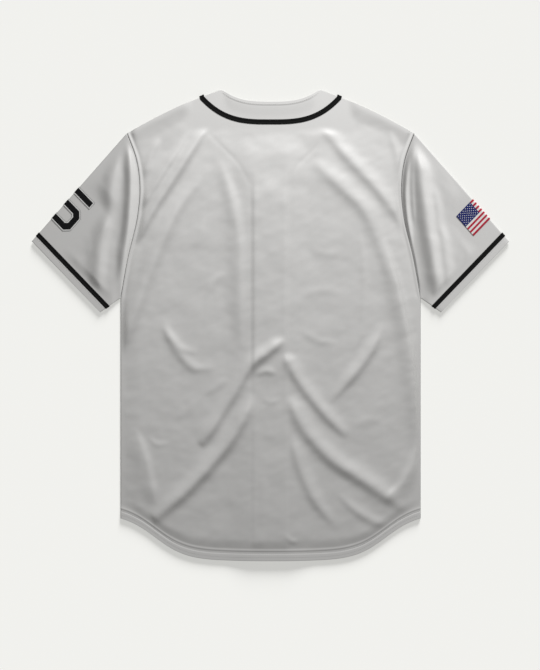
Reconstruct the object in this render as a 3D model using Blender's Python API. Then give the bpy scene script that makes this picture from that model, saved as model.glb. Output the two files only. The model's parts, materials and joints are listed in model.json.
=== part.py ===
"""Baseball jersey lying flat and face down, so that its back panel is on top.

+Z is up from the surface, +Y points to the neck and +X to the wearer's right. The two fronts lie on the
surface with the buttons between them and it, the back lies on the fronts, and each sleeve is a closed tube
pressed flat. Every cloth wall is a grid laid to the panel's outline and lifted along its folds.
"""
import math
from collections import namedtuple

import bmesh
import bpy
from mathutils import Vector

# Cloth and trim, in metres
CLOTH = 0.0015
GAP = 0.0003
TRIM = 0.0008
FLOOR_CLEARANCE = 0.00005

# Body
LENGTH = 0.810
TOP = LENGTH / 2
HALF_CHEST = 0.258
UNDERARM = 0.046
NECK_HALF = 0.084
NECK_DROP = 0.021
NECK_CURVE = 3.0
SHOULDER_TIP = Vector((0.247, 0.3295))
SHOULDER_CROWN = 0.005
HEM_RISE = 0.0814
HEM_TURN = 0.77
HEM_STEEPNESS = 9.4
FRONT_NECK_BOTTOM = 0.255
FRONT_NECK_CURVE = 0.48

# Placket and buttons
PLACKET_HALF = 0.017
RAMP_END = 0.060
BUTTON_RADIUS = 0.007
BUTTON_THICKNESS = 0.0022
BUTTON_TOP = 0.232
BUTTON_PITCH = 0.105
BUTTONS = 6
BUTTON_EDGE = 0.0005
BUTTON_RIM = 0.0012
BUTTON_DISH_SLOPE = 0.0005
BUTTON_DISH = 0.0004

# Sleeves: corners of the flattened sleeve, and the trim measured up from its hem
SLEEVE_TIP = Vector((0.4104, 0.144))
SLEEVE_UNDER = Vector((0.293, 0.0216))
FOLD_RADIUS = CLOTH + GAP / 2
SHOULDER_DROP = 1.06 * FOLD_RADIUS
SLEEVE_BRAID_FROM_HEM = 0.0115
SLEEVE_BRAID_WIDTH = 0.008
PLAIN_BAND = 0.026
SEAM_GAP = 0.00035

# Neck braid
NECK_BRAID_WIDTH = 0.0085
NECK_BRAID_BACK = 0.349
NECK_BRAID_IN = 0.035
FRONT_BRAID_START = 0.80
NECK_BRAID_END = Vector((0.118, 0.3905))
NECK_BRAID_CURVE = 3.1
BRAID_CROWN = 0.0003

# Flag patch and numeral: sizes, and how much of each lies on the back side of the sleeve's fold
FLAG_HOIST = 0.045
FLAG_FLY = 0.0855
FLAG_SHOWN = 0.0414
NUMBER_HEIGHT = 0.073
NUMBER_WIDTH = 0.0576
NUMBER_SHOWN = 0.0396
NUMBER_STROKE = 0.0145
NUMBER_CHAMFER = 0.010
NUMBER_BAR_TOP = 0.046
NUMBER_BAR_LOW = 0.0314
NUMBER_HOOK = 0.0226
NUMBER_NICK = 0.0029
PATCH_FROM_HEM = 0.0505

# Mesh resolution
BACK_CENTRE_COLUMNS = 8
BACK_OUTER_COLUMNS = 15
BACK_SIDE_ROWS = 32
BACK_ARM_ROWS = 20
FRONT_CENTRE_COLUMNS = (-PLACKET_HALF, 0.0, PLACKET_HALF, 0.0385, RAMP_END, 0.072, 0.080, NECK_HALF)
FRONT_OUTER_COLUMNS = 8
FRONT_SIDE_ROWS = 12
FRONT_ARM_ROWS = 9
BEND_STEPS = 5
BRAID_BACK_STEPS = 14
BRAID_FRONT_STEPS = 10
SLEEVE_STATIONS = (0.0, 0.12, 0.26, 0.42, 0.58, 0.74, 0.88, 1.0)

# Heights of the stack, from the surface up
TRIM_LIFT = TRIM + GAP + FLOOR_CLEARANCE
LEFT_PLACKET_LIFT = BUTTON_THICKNESS + GAP
RIGHT_PLACKET_LIFT = LEFT_PLACKET_LIFT + CLOTH + GAP
BACK_LIFT = CLOTH + GAP

# Where the panels rise over the buttons and braid: heights over which each zone begins or ends,
# and distances from the centre within which it is full or has ended
Zone = namedtuple("Zone", "y_none y_full x_full x_none")
FRONT_NECK_ZONE = Zone(0.140, 0.175, 0.135, 0.165)
BACK_NECK_ZONE = Zone(0.100, 0.145, 0.150, 0.190)
PLATEAU_ZONE = Zone(0.347, 0.287, 0.026, 0.084)
BRAID_ZONE = Zone(0.325, 0.340, 0.132, 0.150)

# Air under the back and the sleeves, and how it and the folds die out: each pair is a distance from
# an edge where nothing is left and one from which all of it is there
Fade = namedtuple("Fade", "none full")
BACK_AIR = 0.0030
BACK_AIR_SIDE = Fade(0.002, 0.036)
BACK_AIR_HEM = Fade(0.014, 0.044)
BACK_AIR_TOP = Fade(0.030, 0.150)
FOLDS_SIDE = Fade(0.0, 0.014)
FOLDS_HEM = Fade(0.012, 0.034)
FOLDS_TOP = Fade(0.003, 0.026)
SHOULDER_RIDGE = 0.0022
SHOULDER_RIDGE_IN = Fade(0.024, 0.003)
SHOULDER_RIDGE_SIDE = Fade(0.004, 0.016)
PLACKET_STEP = 0.0022
PLACKET_STEP_LEFT = Fade(-0.0335, -0.0255)
PLACKET_STEP_RIGHT = Fade(0.0325, 0.0265)
PLACKET_STEP_TOP = Fade(0.27, 0.20)
PLACKET_STEP_LOW = Fade(-0.11, -0.05)
PLACKET_STEP_LEAST = 0.3
BRAID_FLAT = Fade(1.5, 1.57)
SLEEVE_AIR = 0.0016
SLEEVE_EDGE = Fade(0.0, 0.12)
SLEEVE_SEAM = Fade(0.0, 0.05)
SLEEVE_HEM = Fade(0.0205, 0.036)
SLEEVE_PATCH = Fade(0.008, 0.020)
PATCH_REACH = 0.0405
PATCH_TOP_MARGIN = 0.018
SLEEVE_LIFT_START = 0.08
SLEEVE_LIFT_FULL = 0.42
FOLD_STEPS = 4
FOLD_END_WIDTH = 0.6

Station = namedtuple("Station", "height half_width")
ARMHOLE = [
    Station(0.046, 0.2580),
    Station(0.114, 0.2455),
    Station(0.189, 0.2284),
    Station(0.236, 0.2248),
    Station(0.285, 0.2310),
    Station(0.3295, 0.2470),
]

# A fold is a soft ridge along a smooth curve through points. The left side of the way along them is
# the lit flank and the right side the shaded one; the fades are shares of its length.
Fold = namedtuple("Fold", "path lit_width shaded_width height start_fade end_fade")
BACK_FOLDS = [
    Fold([(-0.204, -0.335), (-0.190, -0.325), (-0.133, -0.273), (-0.075, -0.206), (-0.042, -0.150), (-0.030, -0.115)],
         0.014, 0.01, 0.0085, 0.25, 0.3),
    Fold([(-0.121, -0.208), (-0.111, -0.194), (-0.073, -0.134), (-0.034, -0.070), (-0.004, -0.046), (0.025, -0.022)],
         0.011, 0.0085, 0.0064, 0.3, 0.15),
    Fold([(0.026, -0.048), (0.033, -0.067), (0.049, -0.096), (0.083, -0.141), (0.121, -0.181), (0.133, -0.194)],
         0.012, 0.0085, 0.005, 0.18, 0.35),
    Fold([(0.032, -0.119), (0.040, -0.143), (0.064, -0.186), (0.107, -0.232), (0.162, -0.268), (0.207, -0.299), (0.235, -0.322)],
         0.015, 0.011, 0.0064, 0.25, 0.25),
    Fold([(0.037, -0.187), (0.045, -0.222), (0.057, -0.260), (0.080, -0.306), (0.119, -0.353)],
         0.012, 0.009, 0.0044, 0.3, 0.3),
    Fold([(0.112, -0.287), (0.140, -0.313), (0.171, -0.334), (0.205, -0.346)],
         0.009, 0.007, 0.0028, 0.4, 0.3),
    Fold([(0.099, -0.136), (0.140, -0.088), (0.173, -0.043), (0.192, -0.002)],
         0.011, 0.008, 0.005, 0.35, 0.35),
    Fold([(0.071, 0.284), (0.088, 0.267), (0.126, 0.234), (0.166, 0.191), (0.190, 0.129), (0.209, 0.064)],
         0.016, 0.012, 0.0046, 0.4, 0.3),
    Fold([(0.205, 0.095), (0.226, 0.026), (0.243, -0.060), (0.250, -0.146), (0.250, -0.224)],
         0.006, 0.018, 0.009, 0.25, 0.3),
    Fold([(0.075, 0.366), (0.090, 0.341), (0.130, 0.291), (0.181, 0.237), (0.223, 0.182), (0.243, 0.143)],
         0.013, 0.01, 0.0044, 0.5, 0.3),
    Fold([(0.204, 0.335), (0.219, 0.287), (0.229, 0.215)],
         0.007, 0.007, 0.0024, 0.3, 0.4),
    Fold([(-0.232, 0.138), (-0.207, 0.188), (-0.170, 0.246), (-0.135, 0.301), (-0.094, 0.365)],
         0.013, 0.008, 0.008, 0.2, 0.35),
    Fold([(-0.226, 0.196), (-0.199, 0.239), (-0.173, 0.280), (-0.137, 0.335)],
         0.009, 0.007, 0.0055, 0.2, 0.35),
    Fold([(-0.218, 0.249), (-0.206, 0.289), (-0.190, 0.322)],
         0.007, 0.006, 0.0024, 0.3, 0.3),
    Fold([(-0.261, -0.053), (-0.242, 0.000), (-0.214, 0.074), (-0.190, 0.136), (-0.156, 0.205), (-0.108, 0.263)],
         0.018, 0.012, 0.009, 0.2, 0.35),
    Fold([(-0.101, 0.301), (-0.073, 0.243), (-0.060, 0.181), (-0.054, 0.112), (-0.053, 0.026), (-0.051, -0.046)],
         0.01, 0.015, 0.0042, 0.4, 0.25),
    Fold([(-0.183, 0.012), (-0.175, -0.017), (-0.159, -0.045), (-0.130, -0.074), (-0.084, -0.070)],
         0.009, 0.008, 0.0028, 0.35, 0.35),
    Fold([(-0.235, -0.172), (-0.214, -0.236), (-0.199, -0.310)],
         0.008, 0.018, 0.004, 0.4, 0.25),
    Fold([(0.193, -0.303), (0.226, -0.273), (0.245, -0.236), (0.254, -0.191)],
         0.008, 0.013, 0.004, 0.3, 0.35),
]
LEFT_SLEEVE_FOLDS = [
    Fold([(-0.256, 0.320), (-0.269, 0.253), (-0.287, 0.172), (-0.295, 0.108), (-0.297, 0.050)],
         0.017, 0.011, 0.0065, 0.25, 0.2),
    Fold([(-0.247, 0.325), (-0.242, 0.275), (-0.240, 0.224), (-0.245, 0.163), (-0.256, 0.108), (-0.262, 0.067)],
         0.006, 0.009, 0.0055, 0.25, 0.25),
]
RIGHT_SLEEVE_FOLDS = [
    Fold([(0.242, 0.320), (0.234, 0.267), (0.232, 0.215), (0.237, 0.170), (0.245, 0.129)],
         0.005, 0.005, 0.003, 0.25, 0.3),
    Fold([(0.248, 0.322), (0.257, 0.263), (0.263, 0.212), (0.272, 0.151), (0.282, 0.091), (0.288, 0.040)],
         0.011, 0.01, 0.007, 0.2, 0.2),
    Fold([(0.278, 0.249), (0.288, 0.198), (0.297, 0.146), (0.305, 0.086), (0.309, 0.047)],
         0.009, 0.008, 0.0034, 0.35, 0.25),
    Fold([(0.262, 0.317), (0.284, 0.287), (0.303, 0.260), (0.319, 0.229)],
         0.006, 0.007, 0.0024, 0.3, 0.4),
]


def ease(low, high, value):
    """Goes smoothly from 0 at low to 1 at high, which may be the smaller of the two."""
    share = min(max((value - low) / (high - low), 0.0), 1.0)
    return share * share * (3 - 2 * share)


def within(zone, x, y):
    """1 inside a zone about the centre line, easing to 0 outside it."""
    return ease(zone.y_none, zone.y_full, y) * (1 - ease(zone.x_full, zone.x_none, abs(x)))


def armhole_half_width(height):
    """Half width of the body at a height, from the side seam up to the shoulder tip."""
    if height <= ARMHOLE[0].height:
        return ARMHOLE[0].half_width
    last = len(ARMHOLE) - 1
    index = min(sum(station.height < height for station in ARMHOLE), last)
    slopes = []
    for place in (index - 1, index):
        before = ARMHOLE[max(place - 1, 0)]
        after = ARMHOLE[min(place + 1, last)]
        slopes.append((after.half_width - before.half_width) / (after.height - before.height))
    start, end = ARMHOLE[index - 1], ARMHOLE[index]
    span = end.height - start.height
    share = min((height - start.height) / span, 1.0)
    turn = share * share * (3 - 2 * share)
    width = start.half_width * (1 - turn) + end.half_width * turn
    width += slopes[0] * span * share * (1 - share) ** 2
    return width - slopes[1] * span * share * share * (1 - share)


def hem_height(x):
    """Height of the rounded shirt-tail hem at x."""
    return HEM_RISE / (1 + math.exp(-HEM_STEEPNESS * (abs(x) / HALF_CHEST - HEM_TURN))) - TOP


def shoulder_height(x):
    """Height of the shoulder line, slightly crowned, between the neck corner and the tip."""
    share = (abs(x) - NECK_HALF) / (SHOULDER_TIP.x - NECK_HALF)
    return TOP + (SHOULDER_TIP.y - TOP) * share + SHOULDER_CROWN * math.sin(math.pi * share)


def back_top(x):
    """Upper outline of the back: shallow neckline, then shoulder."""
    if abs(x) >= NECK_HALF:
        return shoulder_height(x)
    return TOP - NECK_DROP + NECK_DROP * (abs(x) / NECK_HALF) ** NECK_CURVE


def front_neck_height(x):
    """Height of the front's V neckline, which turns steep near the neck corner."""
    reach = min(max(x, 0.0) / NECK_HALF, 1.0)
    return FRONT_NECK_BOTTOM + (TOP - FRONT_NECK_BOTTOM) * (1 - (1 - reach) ** FRONT_NECK_CURVE)


def front_top(x):
    """Upper outline of a front, x counted positive away from the placket."""
    return shoulder_height(x) if x >= NECK_HALF else front_neck_height(x)


def placket_ramp(x):
    """1 over the placket, falling to 0 where the ramp ends."""
    return 1 - min(max((abs(x) - PLACKET_HALF) / (RAMP_END - PLACKET_HALF), 0.0), 1.0)


def front_lift(x, y, placket_lift):
    """Height of a front's outer face above the surface, where buttons or braid lie under it."""
    neck = TRIM_LIFT * within(FRONT_NECK_ZONE, x, y)
    return max(placket_lift * placket_ramp(x), neck)


def back_lift(x, y):
    """Height of the back's inner face, clear of the fronts under it."""
    plateau = RIGHT_PLACKET_LIFT * within(PLATEAU_ZONE, x, y)
    neck = TRIM_LIFT * within(BACK_NECK_ZONE, x, y)
    return BACK_LIFT + max(plateau, neck)


def held(fade, distance):
    """Share that is left at a distance from an edge."""
    return ease(fade.none, fade.full, distance)


def fold_line(fold):
    """Points along a fold's smooth curve, with the share of its length at each."""
    knots = [Vector(point) for point in (fold.path[0], *fold.path, fold.path[-1])]
    points = []
    for a, b, c, d in zip(knots, knots[1:], knots[2:], knots[3:]):
        for step in range(FOLD_STEPS):
            t = step / FOLD_STEPS
            points.append(b + 0.5 * t * (c - a + t * (2 * a - 5 * b + 4 * c - d + t * (3 * (b - c) + d - a))))
    points.append(knots[-1])
    return points


def fold_rise(x, y, folds):
    """Sum of the folds at a point; folds pairs each fold with the points of its line."""
    rise = 0.0
    point = Vector((x, y))
    for fold, line in folds:
        last = len(line) - 1
        reach = (math.inf, 0.0, 0.0)
        for step in range(last):
            start, run = line[step], line[step + 1] - line[step]
            share = min(max((point - start).dot(run) / run.length_squared, 0.0), 1.0)
            away = point - start - run * share
            reach = min(reach, (away.length, run.cross(away), (step + share) / last))
        distance, left, along = reach
        fade = ease(0.0, fold.start_fade, along) * ease(0.0, fold.end_fade, 1 - along)
        width = fold.lit_width if left > 0 else fold.shaded_width
        width *= FOLD_END_WIDTH + (1 - FOLD_END_WIDTH) * fade
        rise += fold.height * fade * math.exp(-(distance / width) ** 2)
    return rise


def back_rise(x, y, folds):
    """Air and folds of the back, dying out at its seams, hem and round the neck."""
    side = armhole_half_width(y) - abs(x)
    above = y - hem_height(x)
    below = back_top(min(abs(x), SHOULDER_TIP.x)) - y
    air = BACK_AIR * held(BACK_AIR_SIDE, side) * held(BACK_AIR_HEM, above) * held(BACK_AIR_TOP, below)
    ridge = SHOULDER_RIDGE * held(SHOULDER_RIDGE_IN, below) * held(SHOULDER_RIDGE_SIDE, side)
    strip = PLACKET_STEP * held(PLACKET_STEP_LEFT, x) * held(PLACKET_STEP_RIGHT, x)
    strip *= PLACKET_STEP_LEAST + (1 - PLACKET_STEP_LEAST) * held(PLACKET_STEP_LOW, y)
    rise = fold_rise(x, y, folds) + strip * held(PLACKET_STEP_TOP, y)
    rise *= held(FOLDS_SIDE, side) * held(FOLDS_TOP, below) * held(FOLDS_HEM, above)
    return (rise + air + ridge) * (1 - within(BRAID_ZONE, x, y))


def wall(columns, rows, outer, inner):
    """Closed cloth wall: a grid placed by outer(i, j), thickened to inner(i, j)."""
    mesh = bmesh.new()
    bmesh.ops.create_grid(mesh, x_segments=columns, y_segments=rows, size=0.5)
    inside = mesh.verts.layers.float_vector.new("inside")
    for vert in mesh.verts:
        i = round((vert.co.x + 0.5) * columns)
        j = round((vert.co.y + 0.5) * rows)
        vert.co = outer(i, j)
        vert[inside] = inner(i, j)
    return thicken(mesh, inside)


def thicken(mesh, inside):
    """Closes a sheet into a wall whose second face lies at the stored inside places."""
    bmesh.ops.remove_doubles(mesh, verts=mesh.verts[:], dist=1e-7)
    grown = bmesh.ops.extrude_face_region(mesh, geom=mesh.faces[:])
    for item in grown["geom"]:
        if isinstance(item, bmesh.types.BMVert):
            item.co = item[inside]
    bmesh.ops.recalc_face_normals(mesh, faces=mesh.faces[:])
    return mesh


def finish(name, mesh, material, sharp=math.radians(60)):
    """Turns a bmesh into a named object with its material, shaded smooth between sharp edges."""
    data = bpy.data.meshes.new(name)
    mesh.to_mesh(data)
    mesh.free()
    data.shade_smooth()
    data.set_sharp_from_angle(angle=sharp)
    data.materials.append(material)
    piece = bpy.data.objects.new(name, data)
    bpy.context.scene.collection.objects.link(piece)
    return piece


def make_material(name, colour, roughness, metallic=0.0):
    """Principled material with one colour, roughness and metallic value."""
    material = bpy.data.materials.new(name)
    material.use_nodes = True
    shader = material.node_tree.nodes["Principled BSDF"]
    shader.inputs["Base Color"].default_value = (*colour, 1.0)
    shader.inputs["Roughness"].default_value = roughness
    shader.inputs["Metallic"].default_value = metallic
    return material


def side_height(row, side_rows, arm_rows):
    """Height on the side seam and armhole of a row of the body's grid."""
    if row <= side_rows:
        start = hem_height(HALF_CHEST)
        return start + (UNDERARM - start) * row / side_rows
    return UNDERARM + (SHOULDER_TIP.y - UNDERARM) * (row - side_rows) / arm_rows


def body_point(x_low, x_high, outward, top, row, side_rows, arm_rows):
    """Plan place on the body: outward is 0 inside the neck corner and reaches 1 at the side."""
    height = side_height(row, side_rows, arm_rows)
    base = side_height(0, side_rows, arm_rows)
    share = (height - base) / (SHOULDER_TIP.y - base)
    x = NECK_HALF + (armhole_half_width(height) - NECK_HALF) * outward if outward > 0 else x_low
    y = hem_height(x_low) + (top(x_high) - hem_height(x_low)) * share
    return x, y


def build_back(material):
    """Back panel: one piece from the neckline to the shirt-tail hem."""
    half = BACK_CENTRE_COLUMNS + BACK_OUTER_COLUMNS
    folds = [(fold, fold_line(fold)) for fold in BACK_FOLDS]

    def plan(i, j):
        column = i - half
        sign = -1 if column < 0 else 1
        outward = max(abs(column) - BACK_CENTRE_COLUMNS, 0) / BACK_OUTER_COLUMNS
        inward = min(abs(column), BACK_CENTRE_COLUMNS) / BACK_CENTRE_COLUMNS * NECK_HALF
        x_low = inward + (HALF_CHEST - NECK_HALF) * outward
        x_high = inward + (SHOULDER_TIP.x - NECK_HALF) * outward
        x, y = body_point(x_low, x_high, outward, back_top, j, BACK_SIDE_ROWS, BACK_ARM_ROWS)
        return sign * x, y

    def inner(i, j):
        x, y = plan(i, j)
        return Vector((x, y, back_lift(x, y) + back_rise(x, y, folds)))

    def outer(i, j):
        return inner(i, j) + Vector((0, 0, CLOTH))

    finish("back", wall(2 * half, BACK_SIDE_ROWS + BACK_ARM_ROWS, outer, inner), material)


def build_front(name, sign, placket_lift, material):
    """One front, from its placket edge past the centre to its side seam."""
    centre = FRONT_CENTRE_COLUMNS

    def plan(i, j):
        outward = max(i - len(centre) + 1, 0) / FRONT_OUTER_COLUMNS
        inward = centre[min(i, len(centre) - 1)]
        x_low = inward + (HALF_CHEST - NECK_HALF) * outward
        x_high = inward + (SHOULDER_TIP.x - NECK_HALF) * outward
        return body_point(x_low, x_high, outward, front_top, j, FRONT_SIDE_ROWS, FRONT_ARM_ROWS)

    def outer(i, j):
        x, y = plan(i, j)
        return Vector((sign * x, y, front_lift(x, y, placket_lift)))

    def inner(i, j):
        return outer(i, j) + Vector((0, 0, CLOTH))

    columns = len(centre) - 1 + FRONT_OUTER_COLUMNS
    finish(name, wall(columns, FRONT_SIDE_ROWS + FRONT_ARM_ROWS, outer, inner), material)


class Sleeve:
    """Flattened sleeve tube on one side: its two fold lines, its hem and its skin."""

    def __init__(self, sign, folds, patch_height):
        self.sign = sign
        self.folds = [(fold, fold_line(fold)) for fold in folds]
        self.patch_top = PATCH_FROM_HEM + patch_height + PATCH_TOP_MARGIN
        along = (SLEEVE_TIP - SHOULDER_TIP).normalized()
        self.upper_side = Vector((-along.y, along.x))
        under = (SLEEVE_UNDER - Vector((HALF_CHEST, UNDERARM))).normalized()
        self.under_side = Vector((under.y, -under.x))
        self.tip_axis = SLEEVE_TIP - self.upper_side * FOLD_RADIUS
        self.under_axis = SLEEVE_UNDER - self.under_side * FOLD_RADIUS
        self.hem_way = (self.tip_axis - self.under_axis).normalized()
        self.hem_out = Vector((self.hem_way.y, -self.hem_way.x))
        self.shoulder_axis = self.seam(SHOULDER_TIP.y - SHOULDER_DROP)
        self.arm_axis = self.seam(UNDERARM) - self.under_side * FOLD_RADIUS

    def seam(self, height):
        """Point of the armhole seam on the sleeve's own edge."""
        return Vector((armhole_half_width(height) + SEAM_GAP, height))

    def from_hem(self, point):
        """Distance of a plan point from the hem line."""
        return (self.tip_axis - point).dot(self.hem_out)

    def ruling(self, share):
        """Armhole end and hem end of the line at a share of the way from the underarm fold up."""
        if share <= 0:
            return self.arm_axis, self.under_axis
        if share >= 1:
            return self.shoulder_axis, self.tip_axis
        start = self.seam(UNDERARM + (SHOULDER_TIP.y - UNDERARM) * share)
        return start, self.under_axis.lerp(self.tip_axis, share)

    def on_ruling(self, share, station):
        """Plan point and share along a ruling: stations below 1 run down to the plain band above
        the hem, and the others count the distance left to the hem."""
        start, end = self.ruling(share)
        depth = self.from_hem(start)
        left = depth + (PLAIN_BAND - depth) * station if station < 1 else PLAIN_BAND * (2 - station)
        way = 1 - left / depth
        return start.lerp(end, way), way

    def rise(self, point, way, share):
        """Air and folds of the top layer, dying out at the seam, the tube's edges, the trim and the hem."""
        left = self.from_hem(point)
        across = (self.tip_axis - point).dot(self.hem_way)
        from_patch = math.hypot(max(across - PATCH_REACH, 0.0), max(left - self.patch_top, 0.0))
        edge = held(SLEEVE_EDGE, share) * held(SLEEVE_EDGE, 1 - share) * held(SLEEVE_SEAM, way)
        rise = SLEEVE_AIR + fold_rise(self.sign * point.x, point.y, self.folds)
        return rise * edge * held(SLEEVE_HEM, left) * held(SLEEVE_PATCH, from_patch)

    def lift(self, way):
        """Height that the tube rises off the surface, for the trim that lies under it."""
        return TRIM_LIFT * ease(SLEEVE_LIFT_START, SLEEVE_LIFT_FULL, way)

    def bend_angles(self):
        """Angles round a fold, from the under layer to the top one."""
        return [math.pi * (step / BEND_STEPS - 0.5) for step in range(BEND_STEPS + 1)]

    def columns(self):
        """Ring of columns: share across, angle of a bend or None, and whether it is the top layer."""
        ring = [(1.0, angle, True) for angle in self.bend_angles()]
        ring += [(1 - k / BACK_ARM_ROWS, None, True) for k in range(1, BACK_ARM_ROWS)]
        ring += [(0.0, angle, True) for angle in reversed(self.bend_angles())]
        ring += [(k / FRONT_ARM_ROWS, None, False) for k in range(1, FRONT_ARM_ROWS)]
        return ring

    def skin(self, column, station, radius):
        """Point of the sleeve at a distance from the middle of its cloth stack."""
        share, angle, is_top = column
        point, way = self.on_ruling(share, station)
        middle = self.lift(way) + FOLD_RADIUS
        if angle is None:
            rise = self.rise(point, way, share) if is_top else 0.0
            height = middle + (radius + rise if is_top else -radius)
        else:
            side = self.upper_side if share > 0.5 else self.under_side
            point = point + side * radius * math.cos(angle)
            height = middle + radius * math.sin(angle)
        return Vector((self.sign * point.x, point.y, height))

    def tube(self, stations, outer_radius, inner_radius):
        """Closed wall round the sleeve through a list of stations and radii."""
        ring = self.columns()

        def place(radius):
            return lambda i, j: self.skin(ring[i % len(ring)], stations[j], radius[j])

        return wall(len(ring), len(stations) - 1, place(outer_radius), place(inner_radius))

    def patch_skin(self, across, up, radius):
        """Point on the sleeve's plain outer part: across is the way round from its upper fold."""
        axis_depth = self.from_hem(self.shoulder_axis)
        point = self.tip_axis.lerp(self.shoulder_axis, up / axis_depth)
        middle = TRIM_LIFT + FOLD_RADIUS
        quarter = FOLD_RADIUS * math.pi / 2
        if abs(across) < quarter:
            angle = across / FOLD_RADIUS
            point = point + self.upper_side * radius * math.cos(angle)
            height = middle + radius * math.sin(angle)
        else:
            point = point - self.hem_way * (abs(across) - quarter)
            height = middle + math.copysign(radius, across)
        return Vector((self.sign * point.x, point.y, height))

    def applique(self, outline):
        """Flat outline laid round the sleeve's fold, creased where the cloth bends."""
        mesh = bmesh.new()
        mesh.faces.new([mesh.verts.new((across, up, 0)) for across, up in outline])
        for angle in self.bend_angles():
            geometry = mesh.verts[:] + mesh.edges[:] + mesh.faces[:]
            crease = (angle * FOLD_RADIUS, 0, 0)
            bmesh.ops.bisect_plane(mesh, geom=geometry, dist=1e-7, plane_co=crease, plane_no=(1, 0, 0))
        inside = mesh.verts.layers.float_vector.new("inside")
        for vert in mesh.verts:
            across, up = vert.co.x, vert.co.y
            vert.co = self.patch_skin(across, up, FOLD_RADIUS + GAP + TRIM)
            vert[inside] = self.patch_skin(across, up, FOLD_RADIUS + GAP)
        return thicken(mesh, inside)


def build_sleeve(side, sleeve, cloth, braid):
    """Sleeve tube and the braid round it above its hem."""
    low = 2 - SLEEVE_BRAID_FROM_HEM / PLAIN_BAND
    high = 2 - (SLEEVE_BRAID_FROM_HEM + SLEEVE_BRAID_WIDTH) / PLAIN_BAND
    stations = [*SLEEVE_STATIONS, high, low, 2.0]
    outer = [FOLD_RADIUS] * len(stations)
    inner = [FOLD_RADIUS - CLOTH] * len(stations)
    finish("sleeve_" + side, sleeve.tube(stations, outer, inner), cloth)
    seat = FOLD_RADIUS + GAP
    crown = seat + TRIM
    edge = crown - BRAID_CROWN
    band = sleeve.tube([high, (high + low) / 2, low], [edge, crown, edge], [seat] * 3)
    finish("sleeve_braid_" + side, band, braid)


def flag_outline():
    """Flag patch as across and up values on the sleeve."""
    low, high = FLAG_SHOWN - FLAG_FLY, FLAG_SHOWN
    bottom, top = PATCH_FROM_HEM, PATCH_FROM_HEM + FLAG_HOIST
    return [(low, bottom), (high, bottom), (high, top), (low, top)]


def number_outline():
    """Plain block numeral 5, with cut corners, as across and up values on the sleeve."""
    w, h, s, c = NUMBER_WIDTH, NUMBER_HEIGHT, NUMBER_STROKE, NUMBER_CHAMFER
    bar_top, bar_low, hook, nick = NUMBER_BAR_TOP, NUMBER_BAR_LOW, NUMBER_HOOK, NUMBER_NICK
    points = [
        (0, h), (w, h), (w, h - s), (s, h - s), (s, bar_top), (w - c, bar_top), (w, bar_top - c),
        (w, c), (w - c, 0), (c, 0), (0, c), (0, hook), (s, hook), (s, s + nick), (s + nick, s),
        (w - s - nick, s), (w - s, s + nick), (w - s, bar_low - nick), (w - s - nick, bar_low), (0, bar_low),
    ]
    return [(x - w + NUMBER_SHOWN, y + PATCH_FROM_HEM) for x, y in points]


def neck_braid_stations():
    """Stations of the neck braid for one side: plan point, way across the braid, angle over the fold.

    They run from the middle of the back to the shoulder, over its edge and down the front neckline.
    """
    stations = []
    for step in range(BRAID_BACK_STEPS):
        share = step / BRAID_BACK_STEPS
        x = NECK_BRAID_END.x * math.sin(share * math.pi / 2)
        rise = NECK_BRAID_END.y - NECK_BRAID_BACK
        slope = NECK_BRAID_CURVE * rise / NECK_BRAID_END.x
        slope *= (x / NECK_BRAID_END.x) ** (NECK_BRAID_CURVE - 1)
        y = NECK_BRAID_BACK + rise * (x / NECK_BRAID_END.x) ** NECK_BRAID_CURVE
        stations.append((Vector((x, y)), Vector((-slope, 1)).normalized(), math.pi / 2))
    shoulder_way = Vector((NECK_HALF, TOP)) - SHOULDER_TIP
    shoulder_way.normalize()
    edge = Vector((NECK_BRAID_END.x, shoulder_height(NECK_BRAID_END.x)))
    for step in range(BEND_STEPS + 1):
        stations.append((edge, shoulder_way, math.pi * (0.5 - step / BEND_STEPS)))
    for step in range(BRAID_FRONT_STEPS + 1):
        rise = FRONT_BRAID_START * (1 - step / BRAID_FRONT_STEPS)
        left = 1 - rise
        x = NECK_HALF * (1 - left ** (1 / FRONT_NECK_CURVE))
        y = FRONT_NECK_BOTTOM + (TOP - FRONT_NECK_BOTTOM) * rise
        run = NECK_HALF / FRONT_NECK_CURVE * left ** (1 / FRONT_NECK_CURVE - 1)
        away = Vector((TOP - FRONT_NECK_BOTTOM, -run)).normalized()
        stations.append((Vector((x, y)) + away * NECK_BRAID_IN, -away, -math.pi / 2))
    return stations


def build_neck_braid(material):
    """Braid round the neck, one band from placket to placket over the back and both shoulders."""
    half = neck_braid_stations()
    path = [(station, 1) for station in reversed(half)] + [(station, -1) for station in half[1:]]
    shoulder_out = Vector((SHOULDER_TIP.y - TOP, NECK_HALF - SHOULDER_TIP.x)).normalized() * -1
    stack_low = TRIM_LIFT
    stack_high = TRIM_LIFT + BACK_LIFT + CLOTH
    middle = (stack_low + stack_high) / 2
    radius = (stack_high - stack_low) / 2

    def place(offsets, lifts):
        def point(i, j):
            (plan, across, angle), sign = path[j]
            spot = plan + across * offsets[i]
            away = radius + GAP + lifts[i]
            spot = spot + shoulder_out * away * math.cos(angle)
            height = middle + away * math.sin(angle)
            if angle < 0:
                placket = RIGHT_PLACKET_LIFT if sign > 0 else LEFT_PLACKET_LIFT
                height += (front_lift(spot.x, spot.y, placket) - TRIM_LIFT) * held(BRAID_FLAT, -angle)
            return Vector((sign * spot.x, spot.y, height))
        return point

    half_width = NECK_BRAID_WIDTH / 2
    offsets = [-half_width, 0.0, half_width]
    outer = place(offsets, [TRIM - BRAID_CROWN, TRIM, TRIM - BRAID_CROWN])
    inner = place(offsets, [0.0, 0.0, 0.0])
    finish("neck_braid", wall(2, len(path) - 1, outer, inner), material)


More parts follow.
